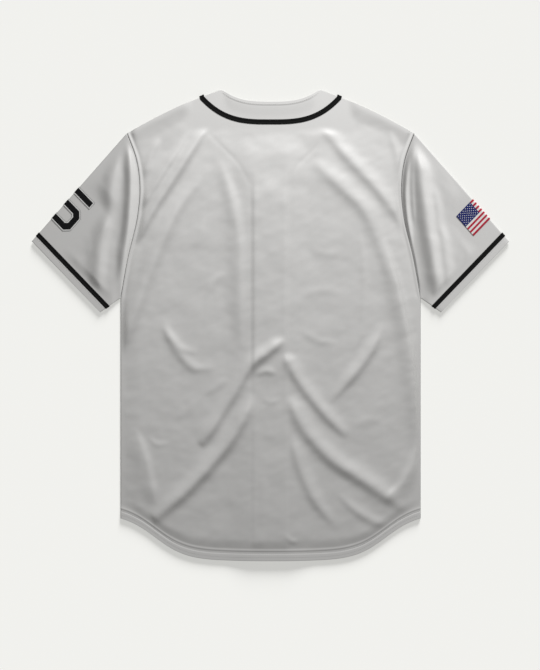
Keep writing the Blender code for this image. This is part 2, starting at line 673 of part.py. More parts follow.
def build_buttons(material):
    """Flat shirt buttons with a shallow dish, under the left front's placket."""
    for number in range(BUTTONS):
        mesh = bmesh.new()
        bmesh.ops.create_cone(mesh, cap_ends=True, segments=16, radius1=BUTTON_RADIUS,
                              radius2=BUTTON_RADIUS, depth=BUTTON_THICKNESS - FLOOR_CLEARANCE)
        rims = [edge for edge in mesh.edges if edge.calc_face_angle(0) > 1]
        bmesh.ops.bevel(mesh, geom=rims, offset=BUTTON_EDGE, segments=1, profile=0.5, affect="EDGES")
        faces = [face for face in mesh.faces if face.normal.z < -0.99]
        bmesh.ops.inset_region(mesh, faces=faces, thickness=BUTTON_RIM)
        bmesh.ops.inset_region(mesh, faces=faces, thickness=BUTTON_DISH_SLOPE, depth=-BUTTON_DISH)
        middle = (BUTTON_THICKNESS + FLOOR_CLEARANCE) / 2
        height = BUTTON_TOP - BUTTON_PITCH * number
        bmesh.ops.translate(mesh, verts=mesh.verts[:], vec=(0, height, middle))
        finish("button_%d" % (number + 1), mesh, material)


def main():
    """Builds the jersey's pieces."""
    for item in list(bpy.data.objects):
        bpy.data.objects.remove(item, do_unlink=True)
    knit = make_material("jersey_knit", (0.56, 0.55, 0.54), 0.62)
    braid = make_material("braid_black", (0.018, 0.018, 0.018), 0.55)
    twill = make_material("twill_black", (0.022, 0.022, 0.024), 0.60)
    flag = make_material("flag_cloth", (0.45, 0.06, 0.10), 0.60)
    plastic = make_material("button_plastic", (0.52, 0.51, 0.50), 0.30)
    build_front("front_left", -1, LEFT_PLACKET_LIFT, knit)
    build_front("front_right", 1, RIGHT_PLACKET_LIFT, knit)
    build_back(knit)
    left = Sleeve(-1, LEFT_SLEEVE_FOLDS, NUMBER_HEIGHT)
    right = Sleeve(1, RIGHT_SLEEVE_FOLDS, FLAG_HOIST)
    build_sleeve("left", left, knit, braid)
    build_sleeve("right", right, knit, braid)
    finish("sleeve_number", left.applique(number_outline()), twill)
    finish("flag_patch", right.applique(flag_outline()), flag)
    build_neck_braid(braid)
    build_buttons(plastic)


main()
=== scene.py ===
"""Looks of a grey baseball jersey that lies flat and face down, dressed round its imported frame.

Metres throughout, +Z up from the surface, +Y to the neck, +X to the wearer's right.
"""
import json
import logging
import math
from dataclasses import dataclass, field
from enum import Enum
from typing import Callable, NamedTuple, Sequence

import bmesh
import bpy
import numpy as np
from mathutils import Matrix, Vector

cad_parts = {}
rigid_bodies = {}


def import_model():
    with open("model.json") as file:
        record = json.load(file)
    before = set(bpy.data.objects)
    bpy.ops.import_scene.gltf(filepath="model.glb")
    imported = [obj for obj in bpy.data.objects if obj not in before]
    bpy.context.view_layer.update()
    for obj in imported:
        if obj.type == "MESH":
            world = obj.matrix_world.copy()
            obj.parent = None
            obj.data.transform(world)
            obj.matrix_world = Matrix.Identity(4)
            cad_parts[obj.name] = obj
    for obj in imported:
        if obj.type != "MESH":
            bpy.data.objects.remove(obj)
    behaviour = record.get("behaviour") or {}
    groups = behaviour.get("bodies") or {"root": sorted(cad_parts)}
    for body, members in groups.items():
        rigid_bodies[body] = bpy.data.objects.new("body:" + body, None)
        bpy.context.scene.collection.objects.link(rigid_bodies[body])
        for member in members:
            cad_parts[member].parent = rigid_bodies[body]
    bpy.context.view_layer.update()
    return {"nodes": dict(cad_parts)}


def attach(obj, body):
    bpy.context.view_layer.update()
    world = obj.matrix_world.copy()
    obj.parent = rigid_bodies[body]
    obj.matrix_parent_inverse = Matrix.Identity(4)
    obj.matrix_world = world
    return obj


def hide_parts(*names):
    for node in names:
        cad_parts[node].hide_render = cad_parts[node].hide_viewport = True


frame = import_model()
LOG = logging.getLogger("jersey")
BODY = "root"
SLEEVE_PIECES = ("sleeve_", "braid_", "stitching_", "number_", "flag_")

Array = np.ndarray
Place = Callable[[Array, Array], Array]


class Side(Enum):
    """Side of the garment; the value is the sign of its X."""

    LEFT = -1
    RIGHT = 1

    @property
    def word(self) -> str:
        """Name used in the nodes."""
        return self.name.lower()


class Crease(NamedTuple):
    """A soft ridge (or, with a negative height, a trough) along a smooth curve through points.

    The lit flank is on the left of the way along the points, the shaded one on the right.
    """

    path: tuple[tuple[float, float], ...]
    lit_width: float
    shaded_width: float
    height: float
    start_fade: float = 0.3
    end_fade: float = 0.3

    def line(self, steps: int = 6) -> Array:
        """Points of the smooth curve, with a few between each two of the table's."""
        knots = np.array((self.path[0], *self.path, self.path[-1]))
        parts = []
        for a, b, c, d in zip(knots, knots[1:], knots[2:], knots[3:]):
            t = np.linspace(0.0, 1.0, steps, endpoint=False)[:, None]
            parts.append(b + 0.5 * t * (c - a + t * (2 * a - 5 * b + 4 * c - d + t * (3 * (b - c) + d - a))))
        return np.concatenate((*parts, knots[-1:]))


BACK_CREASES = (
    Crease(((-0.204, -0.335), (-0.190, -0.325), (-0.133, -0.273), (-0.075, -0.206), (-0.042, -0.150),
            (-0.030, -0.115)),
           0.014, 0.01, 0.0085, 0.4, 0.3),
    Crease(((-0.121, -0.208), (-0.111, -0.194), (-0.073, -0.134), (-0.034, -0.070), (-0.004, -0.046),
            (0.025, -0.022)),
           0.011, 0.0085, 0.0064, 0.3, 0.15),
    Crease(((0.026, -0.048), (0.033, -0.067), (0.049, -0.096), (0.083, -0.141), (0.121, -0.181), (0.133, -0.194)),
           0.012, 0.0085, 0.005, 0.18, 0.35),
    Crease(((0.032, -0.119), (0.040, -0.143), (0.064, -0.186), (0.107, -0.232), (0.162, -0.268),
            (0.207, -0.299), (0.235, -0.322)),
           0.015, 0.011, 0.0064, 0.25, 0.25),
    Crease(((0.037, -0.187), (0.045, -0.222), (0.057, -0.260), (0.080, -0.306), (0.119, -0.353)),
           0.012, 0.009, 0.0044),
    Crease(((0.112, -0.287), (0.140, -0.313), (0.171, -0.334), (0.205, -0.346)),
           0.009, 0.007, 0.0028, 0.4, 0.3),
    Crease(((0.099, -0.136), (0.140, -0.088), (0.173, -0.043), (0.192, -0.002)),
           0.011, 0.008, 0.005, 0.35, 0.35),
    Crease(((0.147, 0.177), (0.159, 0.120), (0.161, 0.043), (0.155, -0.017), (0.140, -0.046)),
           0.006, 0.007, 0.0012, 0.4, 0.3),
    Crease(((0.071, 0.284), (0.088, 0.267), (0.126, 0.234), (0.166, 0.191), (0.190, 0.129), (0.209, 0.064)),
           0.016, 0.012, 0.0046, 0.4, 0.3),
    Crease(((0.193, 0.153), (0.209, 0.098), (0.226, 0.029), (0.241, -0.052), (0.250, -0.146), (0.250, -0.232)),
           0.006, 0.018, 0.009),
    Crease(((0.075, 0.366), (0.090, 0.341), (0.130, 0.291), (0.181, 0.237), (0.223, 0.182), (0.243, 0.143)),
           0.013, 0.01, 0.0044, 0.5, 0.3),
    Crease(((0.204, 0.335), (0.219, 0.287), (0.229, 0.215)),
           0.007, 0.007, 0.0024, 0.3, 0.4),
    Crease(((-0.232, 0.138), (-0.207, 0.188), (-0.170, 0.246), (-0.135, 0.301), (-0.094, 0.365)),
           0.013, 0.008, 0.008, 0.2, 0.35),
    Crease(((-0.226, 0.196), (-0.199, 0.239), (-0.173, 0.280), (-0.137, 0.335)),
           0.009, 0.007, 0.0055, 0.2, 0.35),
    Crease(((-0.218, 0.249), (-0.206, 0.289), (-0.190, 0.322)),
           0.007, 0.006, 0.0024),
    Crease(((-0.261, -0.053), (-0.242, 0.000), (-0.214, 0.074), (-0.190, 0.136), (-0.156, 0.205), (-0.108, 0.263)),
           0.018, 0.012, 0.009, 0.2, 0.35),
    Crease(((-0.101, 0.301), (-0.073, 0.243), (-0.060, 0.181), (-0.054, 0.112), (-0.053, 0.026), (-0.051, -0.046)),
           0.01, 0.015, 0.0042, 0.4, 0.25),
    Crease(((-0.111, 0.334), (-0.078, 0.301), (-0.053, 0.274), (-0.035, 0.239)),
           0.0026, 0.0026, -0.0005, 0.1, 0.1),
    Crease(((0.083, 0.311), (0.059, 0.287), (0.040, 0.265), (0.033, 0.232)),
           0.0026, 0.0026, -0.0005, 0.1, 0.1),
    Crease(((-0.027, -0.088), (-0.008, -0.079), (0.011, -0.084)),
           0.006, 0.005, 0.0018, 0.35, 0.35),
    Crease(((-0.183, 0.012), (-0.175, -0.017), (-0.159, -0.045), (-0.130, -0.074), (-0.084, -0.070)),
           0.009, 0.008, 0.0028, 0.35, 0.35),
    Crease(((-0.190, 0.005), (-0.159, -0.036), (-0.121, -0.050)),
           0.007, 0.006, 0.0014, 0.4, 0.4),
    Crease(((-0.235, -0.172), (-0.214, -0.236), (-0.199, -0.310)),
           0.008, 0.018, 0.004, 0.4, 0.25),
    Crease(((0.193, -0.303), (0.226, -0.273), (0.245, -0.236), (0.254, -0.191)),
           0.008, 0.013, 0.004, 0.3, 0.35),
    Crease(((-0.084, 0.270), (-0.070, 0.220), (-0.058, 0.160)),
           0.009, 0.01, 0.0013, 0.4, 0.4),
    Crease(((-0.113, 0.043), (-0.097, 0.074), (-0.073, 0.091)),
           0.007, 0.007, 0.0009, 0.4, 0.4),
    Crease(((0.051, -0.009), (0.082, -0.027), (0.119, -0.029)),
           0.006, 0.006, 0.0009, 0.4, 0.4),
    Crease(((0.051, 0.047), (0.088, 0.060), (0.128, 0.053)),
           0.008, 0.007, 0.0008, 0.4, 0.4),
    Crease(((-0.121, -0.120), (-0.094, -0.108), (-0.073, -0.088)),
           0.007, 0.006, 0.001, 0.4, 0.4),
    Crease(((-0.173, -0.163), (-0.146, -0.150), (-0.125, -0.129)),
           0.008, 0.007, 0.001, 0.4, 0.4),
    Crease(((-0.211, -0.191), (-0.194, -0.205), (-0.170, -0.201)),
           0.005, 0.005, 0.0009, 0.4, 0.4),
    Crease(((-0.015, -0.125), (-0.001, -0.132), (0.018, -0.127)),
           0.005, 0.005, 0.0009, 0.4, 0.4),
    Crease(((0.140, -0.181), (0.168, -0.163), (0.198, -0.170)),
           0.009, 0.008, 0.001, 0.4, 0.4),
    Crease(((-0.015, -0.249), (-0.011, -0.301), (-0.015, -0.353)),
           0.008, 0.009, 0.0009, 0.4, 0.4),
    Crease(((0.061, 0.138), (0.094, 0.122), (0.125, 0.129)),
           0.008, 0.008, 0.0007, 0.4, 0.4),
    Crease(((-0.139, 0.129), (-0.121, 0.153), (-0.115, 0.188)),
           0.008, 0.008, 0.0008, 0.4, 0.4),
    Crease(((0.025, -0.358), (0.035, -0.370), (0.049, -0.373)),
           0.004, 0.004, 0.0013, 0.4, 0.4),
)
LEFT_SLEEVE_CREASES = (
    Crease(((-0.257, 0.320), (-0.271, 0.253), (-0.285, 0.177), (-0.295, 0.108), (-0.297, 0.047)),
           0.012, 0.015, 0.006, 0.3, 0.2),
    Crease(((-0.245, 0.322), (-0.240, 0.256), (-0.242, 0.191), (-0.250, 0.129), (-0.261, 0.071)),
           0.006, 0.0095, 0.0075, 0.25, 0.25),
    Crease(((-0.383, 0.141), (-0.366, 0.131), (-0.345, 0.134)),
           0.006, 0.005, 0.0009, 0.35, 0.4),
)
RIGHT_SLEEVE_CREASES = (
    Crease(((0.242, 0.320), (0.234, 0.267), (0.232, 0.215), (0.237, 0.170), (0.245, 0.129)),
           0.005, 0.005, 0.003, 0.25, 0.3),
    Crease(((0.246, 0.320), (0.243, 0.267), (0.244, 0.215), (0.248, 0.167)),
           0.0032, 0.0032, 0.0011, 0.25, 0.3),
    Crease(((0.248, 0.322), (0.257, 0.263), (0.263, 0.212), (0.272, 0.151), (0.282, 0.091), (0.288, 0.040)),
           0.014, 0.013, 0.008, 0.2, 0.2),
    Crease(((0.278, 0.249), (0.288, 0.198), (0.297, 0.146), (0.305, 0.086), (0.309, 0.047)),
           0.009, 0.008, 0.0024, 0.35, 0.25),
    Crease(((0.262, 0.317), (0.284, 0.287), (0.303, 0.260), (0.319, 0.229)),
           0.006, 0.007, 0.0018, 0.3, 0.4),
    Crease(((0.307, 0.194), (0.324, 0.153), (0.346, 0.115)),
           0.007, 0.007, 0.0008, 0.35, 0.35),
    Crease(((0.353, 0.129), (0.370, 0.134), (0.384, 0.146)),
           0.005, 0.005, 0.0009, 0.35, 0.4),
)


def ease(low: float, high: float, value: Array | float) -> Array:
    """Goes smoothly from 0 at low to 1 at high.

    Args:
        low: Value that gives 0.
        high: Value that gives 1; it may be the smaller of the two.
        value: Values to ease.

    Returns:
        The eased values.
    """
    share = np.clip((value - low) / (high - low), 0.0, 1.0)
    return share * share * (3 - 2 * share)


def crease_rise(x: Array, y: Array, creases: Sequence[Crease]) -> Array:
    """Adds up the creases over a surface.

    Args:
        x: Plan places across.
        y: Plan places along.
        creases: The creases to add.

    Returns:
        The rise at each place.
    """
    total = np.zeros_like(x)
    for crease in creases:
        line = crease.line()
        steps = len(line) - 1
        margin = 2.6 * max(crease.lit_width, crease.shaded_width)
        near = ((x > line[:, 0].min() - margin) & (x < line[:, 0].max() + margin)
                & (y > line[:, 1].min() - margin) & (y < line[:, 1].max() + margin))
        px, py = x[near], y[near]
        best = np.full_like(px, np.inf)
        signed = np.zeros_like(px)
        along = np.zeros_like(px)
        for step, (a, b) in enumerate(zip(line, line[1:])):
            run = b - a
            t = np.clip(((px - a[0]) * run[0] + (py - a[1]) * run[1]) / run.dot(run), 0.0, 1.0)
            dx, dy = px - a[0] - t * run[0], py - a[1] - t * run[1]
            gap = np.hypot(dx, dy)
            nearer = gap < best
            best = np.where(nearer, gap, best)
            signed = np.where(nearer, run[0] * dy - run[1] * dx, signed)
            along = np.where(nearer, (step + t) / steps, along)
        width = np.where(signed > 0, crease.lit_width, crease.shaded_width)
        fade = ease(0.0, crease.start_fade, along) * ease(0.0, crease.end_fade, 1 - along)
        total[near] += crease.height * fade * np.exp(-(best / (width * (0.6 + 0.4 * fade))) ** 2)
    return total


@dataclass(frozen=True)
class Ripples:
    """Faint unevenness of cloth that has been folded and smoothed out again."""

    height: float = 0.00012
    longest: float = 0.085
    waves: int = 36
    seed: int = 7

    def rise(self, x: Array, y: Array) -> Array:
        """Height of the ripples at plan places."""
        dice = np.random.default_rng(self.seed)
        total = np.zeros_like(x)
        for number in range(self.waves):
            length = self.longest * 0.945 ** number
            turn = dice.uniform(0.0, math.pi)
            way = x * math.cos(turn) + y * math.sin(turn)
            bend = 0.15 * length * np.sin(2 * math.pi * (y - x) / (3 * length) + number)
            phase = dice.uniform(0.0, 2 * math.pi)
            total += (length / self.longest) ** 1.1 * np.sin(2 * math.pi * (way + bend) / length + phase)
        return self.height * total


@dataclass(frozen=True)
class Pattern:
    """Sizes of the body's cut, and the outlines worked out from them."""

    length: float = 0.810
    half_chest: float = 0.258
    underarm: float = 0.046
    neck_half: float = 0.084
    neck_drop: float = 0.021
    neck_curve: float = 3.0
    tip_x: float = 0.247
    tip_y: float = 0.3295
    shoulder_crown: float = 0.005
    hem_rise: float = 0.0814
    hem_turn: float = 0.77
    hem_steepness: float = 9.4
    front_neck_bottom: float = 0.255
    front_neck_curve: float = 0.48
    arm_heights: tuple[float, ...] = (0.046, 0.114, 0.189, 0.236, 0.285, 0.3295)
    arm_widths: tuple[float, ...] = (0.2580, 0.2455, 0.2284, 0.2248, 0.2310, 0.2470)

    @property
    def top(self) -> float:
        """Height of the neck corner."""
        return self.length / 2

    def half_width(self, y: Array | float) -> Array:
        """Half width of the body at a height, on a smooth curve round the armhole."""
        heights = np.array(self.arm_heights)
        widths = np.array(self.arm_widths)
        slopes = np.gradient(widths, heights)
        slopes[0] = (widths[1] - widths[0]) / (heights[1] - heights[0])
        place = np.clip(np.searchsorted(heights, y) - 1, 0, len(heights) - 2)
        span = heights[place + 1] - heights[place]
        t = np.clip((y - heights[place]) / span, 0.0, 1.0)
        turn = t * t * (3 - 2 * t)
        width = widths[place] * (1 - turn) + widths[place + 1] * turn
        width = width + slopes[place] * span * t * (1 - t) ** 2
        return width - slopes[place + 1] * span * t * t * (1 - t)

    def hem(self, x: Array | float) -> Array:
        """Height of the rounded shirt-tail hem."""
        turn = np.exp(-self.hem_steepness * (np.abs(x) / self.half_chest - self.hem_turn))
        return self.hem_rise / (1 + turn) - self.top

    def shoulder(self, x: Array | float) -> Array:
        """Height of the shoulder line."""
        share = (np.abs(x) - self.neck_half) / (self.tip_x - self.neck_half)
        return self.top + (self.tip_y - self.top) * share + self.shoulder_crown * np.sin(math.pi * share)

    def back_top(self, x: Array) -> Array:
        """Upper outline of the back."""
        dip = self.top - self.neck_drop * (1 - (np.abs(x) / self.neck_half) ** self.neck_curve)
        return np.where(np.abs(x) >= self.neck_half, self.shoulder(x), dip)

    def front_top(self, x: Array) -> Array:
        """Upper outline of a front, x counted away from the placket."""
        reach = np.clip(x / self.neck_half, 0.0, 1.0)
        rise = 1 - (1 - reach) ** self.front_neck_curve
        neck = self.front_neck_bottom + (self.top - self.front_neck_bottom) * rise
        return np.where(x >= self.neck_half, self.shoulder(x), neck)


PATTERN = Pattern()


@dataclass(frozen=True)
class Stack:
    """Heights of the layers, as in the frame."""

    cloth: float = 0.0015
    gap: float = 0.0003
    trim: float = 0.0008
    floor_gap: float = 0.00005
    button: float = 0.0022
    shell: float = 0.0009

    @property
    def trim_lift(self) -> float:
        """Rise that leaves room for trim under a layer."""
        return self.trim + self.gap + self.floor_gap

    @property
    def left_lift(self) -> float:
        """Rise of the left front's placket over the buttons."""
        return self.button + self.gap

    @property
    def right_lift(self) -> float:
        """Rise of the right front's placket over the left one."""
        return self.left_lift + self.cloth + self.gap

    @property
    def fold_radius(self) -> float:
        """Half height of a sleeve's two layers."""
        return self.cloth + self.gap / 2


STACK = Stack()


# Zones at the neck and over the plackets: y_none, y_full, x_full, x_none.
PLACKET_ZONE = (0.347, 0.287, 0.026, 0.084)
BACK_NECK_ZONE = (0.100, 0.145, 0.150, 0.190)
BRAID_ZONE = (0.325, 0.340, 0.132, 0.150)
FRONT_NECK_ZONE = (0.140, 0.175, 0.135, 0.165)


def zone(x: Array, y: Array, y_none: float, y_full: float, x_full: float, x_none: float) -> Array:
    """1 inside a zone about the centre line, easing to 0 outside it.

    Args:
        x: Plan places across.
        y: Plan places along.
        y_none: Height where the zone ends.
        y_full: Height from which it is full.
        x_full: Distance from the centre within which it is full.
        x_none: Distance from the centre where it has ended.

    Returns:
        The share of the zone at each place.
    """
    return ease(y_none, y_full, y) * (1 - ease(x_full, x_none, np.abs(x)))


def face_up(work: bmesh.types.BMesh) -> None:
    """Turns the faces of a sheet so that its highest one looks up."""
    highest = max(work.faces, key=lambda face: face.calc_center_median().z)
    if highest.normal.z < 0:
        bmesh.ops.reverse_faces(work, faces=work.faces[:])


def lay_grid(name: str, columns: int, rows: int, place: Place, wrap: bool = False) -> bpy.types.Object:
    """Lays a grid of cloth: bmesh makes it, and its points go where the form says.

    Args:
        name: Name of the piece.
        columns: Faces along the first way of the grid.
        rows: Faces along the second way.
        place: Gives the points for arrays of both shares.
        wrap: Whether the first way closes into a ring.

    Returns:
        The new piece, smooth, with a UV map of the two shares.
    """
    work = bmesh.new()
    work.loops.layers.uv.new("UVMap")
    bmesh.ops.create_grid(work, x_segments=columns, y_segments=rows, size=0.5, calc_uvs=True)
    plan = np.array([vert.co[:2] for vert in work.verts]) + 0.5
    for vert, point in zip(work.verts, place(plan[:, 0], plan[:, 1]).tolist()):
        vert.co = point
    if wrap:
        bmesh.ops.remove_doubles(work, verts=work.verts[:], dist=1e-6)
        bmesh.ops.recalc_face_normals(work, faces=work.faces[:])
        work.normal_update()
        face_up(work)
    return link(name, work)


def link(name: str, work: bmesh.types.BMesh, smooth: bool = True) -> bpy.types.Object:
    """Turns a bmesh into a named piece at the origin.

    Args:
        name: Name of the piece.
        work: Its mesh, which is freed.
        smooth: Whether its faces are shaded smooth.

    Returns:
        The linked object.
    """
    data = bpy.data.meshes.new(name)
    work.to_mesh(data)
    work.free()
    if smooth:
        data.shade_smooth()
        data.set_sharp_from_angle(angle=math.radians(50))
    piece = bpy.data.objects.new(name, data)
    bpy.context.scene.collection.objects.link(piece)
    return piece


def thicken(piece: bpy.types.Object, thickness: float, offset: float = -1.0) -> None:
    """Gives a sheet its wall, inwards from the points that were laid."""
    wall = piece.modifiers.new("wall", "SOLIDIFY")
    wall.thickness = thickness
    wall.offset = offset


def dress(piece: bpy.types.Object, slot: str, *materials: bpy.types.Material) -> bpy.types.Object:
    """Puts materials on a piece, makes it ride on the jersey and logs it.

    Args:
        piece: The piece.
        slot: Name of the record's material slot; it is not used.
        *materials: Its materials, in the order of its faces' indices.

    Returns:
        The same piece.
    """
    for material in materials:
        piece.data.materials.append(material)
    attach(piece, BODY)
    LOG.info("%s: %d faces", piece.name, len(piece.data.polygons))
    return piece


class NodeSheet:
    """Small helper that adds and links shader nodes in a tree."""

    def __init__(self, tree: bpy.types.NodeTree) -> None:
        """Keeps the tree."""
        self.tree = tree

    def add(self, kind: str, inputs: dict[str | int, object] | None = None,
            **settings: object) -> bpy.types.Node:
        """Adds a node, sets its properties, and links or sets its inputs.

        Args:
            kind: Blender's node type.
            inputs: Sockets to link from, or values to set.
            **settings: Properties of the node.

        Returns:
            The node.
        """
        node = self.tree.nodes.new(kind)
        for key, value in settings.items():
            setattr(node, key, value)
        for key, value in (inputs or {}).items():
            if isinstance(value, bpy.types.NodeSocket):
                self.tree.links.new(value, node.inputs[key])
            else:
                node.inputs[key].default_value = value
        return node

    def math(self, operation: str, first: object, second: object = 0.0) -> bpy.types.NodeSocket:
        """Adds a Math node and returns its output."""
        return self.add("ShaderNodeMath", {0: first, 1: second}, operation=operation).outputs[0]

    def mix(self, share: object, first: object, second: object) -> bpy.types.NodeSocket:
        """Mixes two colours and returns the result."""
        node = self.add("ShaderNodeMix", {0: share, 6: first, 7: second}, data_type="RGBA")
        return node.outputs[2]


def new_group(name: str, inputs: dict[str, float], outputs: Sequence[str]) -> NodeSheet:
    """Starts a shader node group with float sockets.

    Args:
        name: The group's name.
        inputs: Input names and default values; a name that ends in Vector is a vector.
        outputs: Names of the float outputs.

    Returns:
        A helper on the group's tree, whose group nodes are called in and out.
    """
    tree = bpy.data.node_groups.new(name, "ShaderNodeTree")
    for label, value in inputs.items():
        kind = "NodeSocketVector" if label.endswith("Vector") else "NodeSocketFloat"
        socket = tree.interface.new_socket(label, in_out="INPUT", socket_type=kind)
        if kind == "NodeSocketFloat":
            socket.default_value = value
    for label in outputs:
        tree.interface.new_socket(label, in_out="OUTPUT", socket_type="NodeSocketFloat")
    sheet = NodeSheet(tree)
    sheet.add("NodeGroupInput", name="in")
    sheet.add("NodeGroupOutput", name="out")
    return sheet


def knit_group() -> bpy.types.NodeTree:
    """Shader group of fine knitted loops: columns of stitches, crossed by courses.

    Returns:
        A group with the outputs Height and Shade; Shade is random mottling plus a painted shade, darker in the
        hollows of the loops and lighter on their tops.
    """
    sheet = new_group("knit_loops", {"Vector": 0.0, "Wale": 0.0011, "Course": 0.0008, "Wear": 1.0},
                      ("Height", "Shade"))
    start, end = sheet.tree.nodes["in"], sheet.tree.nodes["out"]
    parts = sheet.add("ShaderNodeSeparateXYZ", {0: start.outputs["Vector"]})
    across = sheet.math("DIVIDE", parts.outputs[0], start.outputs["Wale"])
    along = sheet.math("DIVIDE", parts.outputs[1], start.outputs["Course"])
    rib = sheet.math("ABSOLUTE", sheet.math("SINE", sheet.math("MULTIPLY", across, math.pi)))
    slant = sheet.math("ADD", along, sheet.math("MULTIPLY", rib, 0.5))
    loop = sheet.math("ABSOLUTE", sheet.math("SINE", sheet.math("MULTIPLY", slant, math.pi)))
    height = sheet.math("MULTIPLY", sheet.math("POWER", rib, 0.6), sheet.math("POWER", loop, 0.5))
    cloud = sheet.add("ShaderNodeTexNoise", {"Vector": start.outputs["Vector"], "Scale": 14.0,
                                             "Detail": 3.0, "Roughness": 0.55})
    slub = sheet.add("ShaderNodeTexNoise", {"Vector": start.outputs["Vector"], "Scale": 420.0,
                                            "Detail": 2.0})
    worn = sheet.math("MULTIPLY", sheet.math("SUBTRACT", cloud.outputs[0], 0.5), start.outputs["Wear"])
    # Painted shade: the loops' height darkens the colour in their hollows and lightens it on their tops; the cloud
    # and the slub add random mottling.
    shade = sheet.math("ADD", worn, sheet.math("MULTIPLY", sheet.math("SUBTRACT", height, 0.5), 0.35))
    shade = sheet.math("ADD", shade, sheet.math("MULTIPLY", sheet.math("SUBTRACT", slub.outputs[0], 0.5), 0.5))
    sheet.tree.links.new(height, end.inputs["Height"])
    sheet.tree.links.new(shade, end.inputs["Shade"])
    return sheet.tree


def twill_group() -> bpy.types.NodeTree:
    """Shader group of diagonal threads, for twill, braid and embroidery.

    Returns:
        A group with the outputs Height and Shade; Shade is a painted shade, darker in the grooves between the
        threads and lighter on their tops, with random fuzz.
    """
    sheet = new_group("diagonal_threads", {"Vector": 0.0, "Pitch": 0.0009, "Lean": 1.0},
                      ("Height", "Shade"))
    start, end = sheet.tree.nodes["in"], sheet.tree.nodes["out"]
    parts = sheet.add("ShaderNodeSeparateXYZ", {0: start.outputs["Vector"]})
    slant = sheet.math("ADD", parts.outputs[0], sheet.math("MULTIPLY", parts.outputs[1], start.outputs["Lean"]))
    turns = sheet.math("MULTIPLY", sheet.math("DIVIDE", slant, start.outputs["Pitch"]), math.pi)
    thread = sheet.math("ABSOLUTE", sheet.math("SINE", turns))
    fuzz = sheet.add("ShaderNodeTexNoise", {"Vector": start.outputs["Vector"], "Scale": 900.0,
                                            "Detail": 2.0})
    # Painted shade: each thread lighter on its top and darker in the groove beside it, with random fuzz added.
    shade = sheet.math("ADD", sheet.math("SUBTRACT", thread, 0.6),
                       sheet.math("SUBTRACT", fuzz.outputs[0], 0.5))
    sheet.tree.links.new(sheet.math("POWER", thread, 0.6), end.inputs["Height"])
    sheet.tree.links.new(shade, end.inputs["Shade"])
    return sheet.tree


class Texture(Enum):
    """Which thread pattern a cloth finish has."""

    KNIT = "knit_loops"
    TWILL = "diagonal_threads"


@dataclass(frozen=True)
class ClothFinish:
    """A woven, knitted or braided cloth."""

    name: str
    colour: tuple[float, float, float]
    texture: Texture
    roughness: float = 0.6
    sheen: float = 0.2
    relief: float = 0.00006
    shade_depth: float = 0.16
    pitch: float = 0.0009
    on_uv: tuple[float, float] | None = None
    gloss: float = 0.08

    def build(self) -> bpy.types.Material:
        """Makes the material from its thread group.

        Returns:
            The material, with relief, a painted shade and random mottling from its threads' Shade in its colour,
            and a soft sheen.
        """
        material = bpy.data.materials.new(self.name)
        material.use_nodes = True
        sheet = NodeSheet(material.node_tree)
        shader = material.node_tree.nodes["Principled BSDF"]
        where = sheet.add("ShaderNodeTexCoord")
        vector = where.outputs["Object"]
        if self.on_uv:
            vector = sheet.add("ShaderNodeMapping", {"Vector": where.outputs["UV"],
                                                     "Scale": (*self.on_uv, 1.0)}).outputs[0]
        threads = sheet.add("ShaderNodeGroup", node_tree=bpy.data.node_groups[self.texture.value])
        sheet.tree.links.new(vector, threads.inputs["Vector"])
        if self.texture is Texture.TWILL:
            threads.inputs["Pitch"].default_value = self.pitch
        # Painted shade: the colour goes between a darker and a lighter copy by the threads' Shade, darker in their
        # hollows and lighter on their tops.
        tone = sheet.math("ADD", 0.5, sheet.math("MULTIPLY", threads.outputs["Shade"], self.shade_depth * 2))
        dark = (*(c * (1 - self.shade_depth) for c in self.colour), 1.0)
        light = (*(min(c * (1 + self.shade_depth), 1.0) for c in self.colour), 1.0)
        sheet.tree.links.new(sheet.mix(tone, dark, light), shader.inputs["Base Color"])
        rough = sheet.math("ADD", self.roughness, sheet.math("MULTIPLY", threads.outputs["Shade"], -0.08))
        sheet.tree.links.new(rough, shader.inputs["Roughness"])
        bump = sheet.add("ShaderNodeBump", {"Height": threads.outputs["Height"], "Distance": self.relief,
                                            "Strength": 0.7})
        sheet.tree.links.new(bump.outputs[0], shader.inputs["Normal"])
        shader.inputs["Sheen Weight"].default_value = self.sheen
        shader.inputs["Sheen Roughness"].default_value = 0.4
        shader.inputs["Specular IOR Level"].default_value = self.gloss
        return material


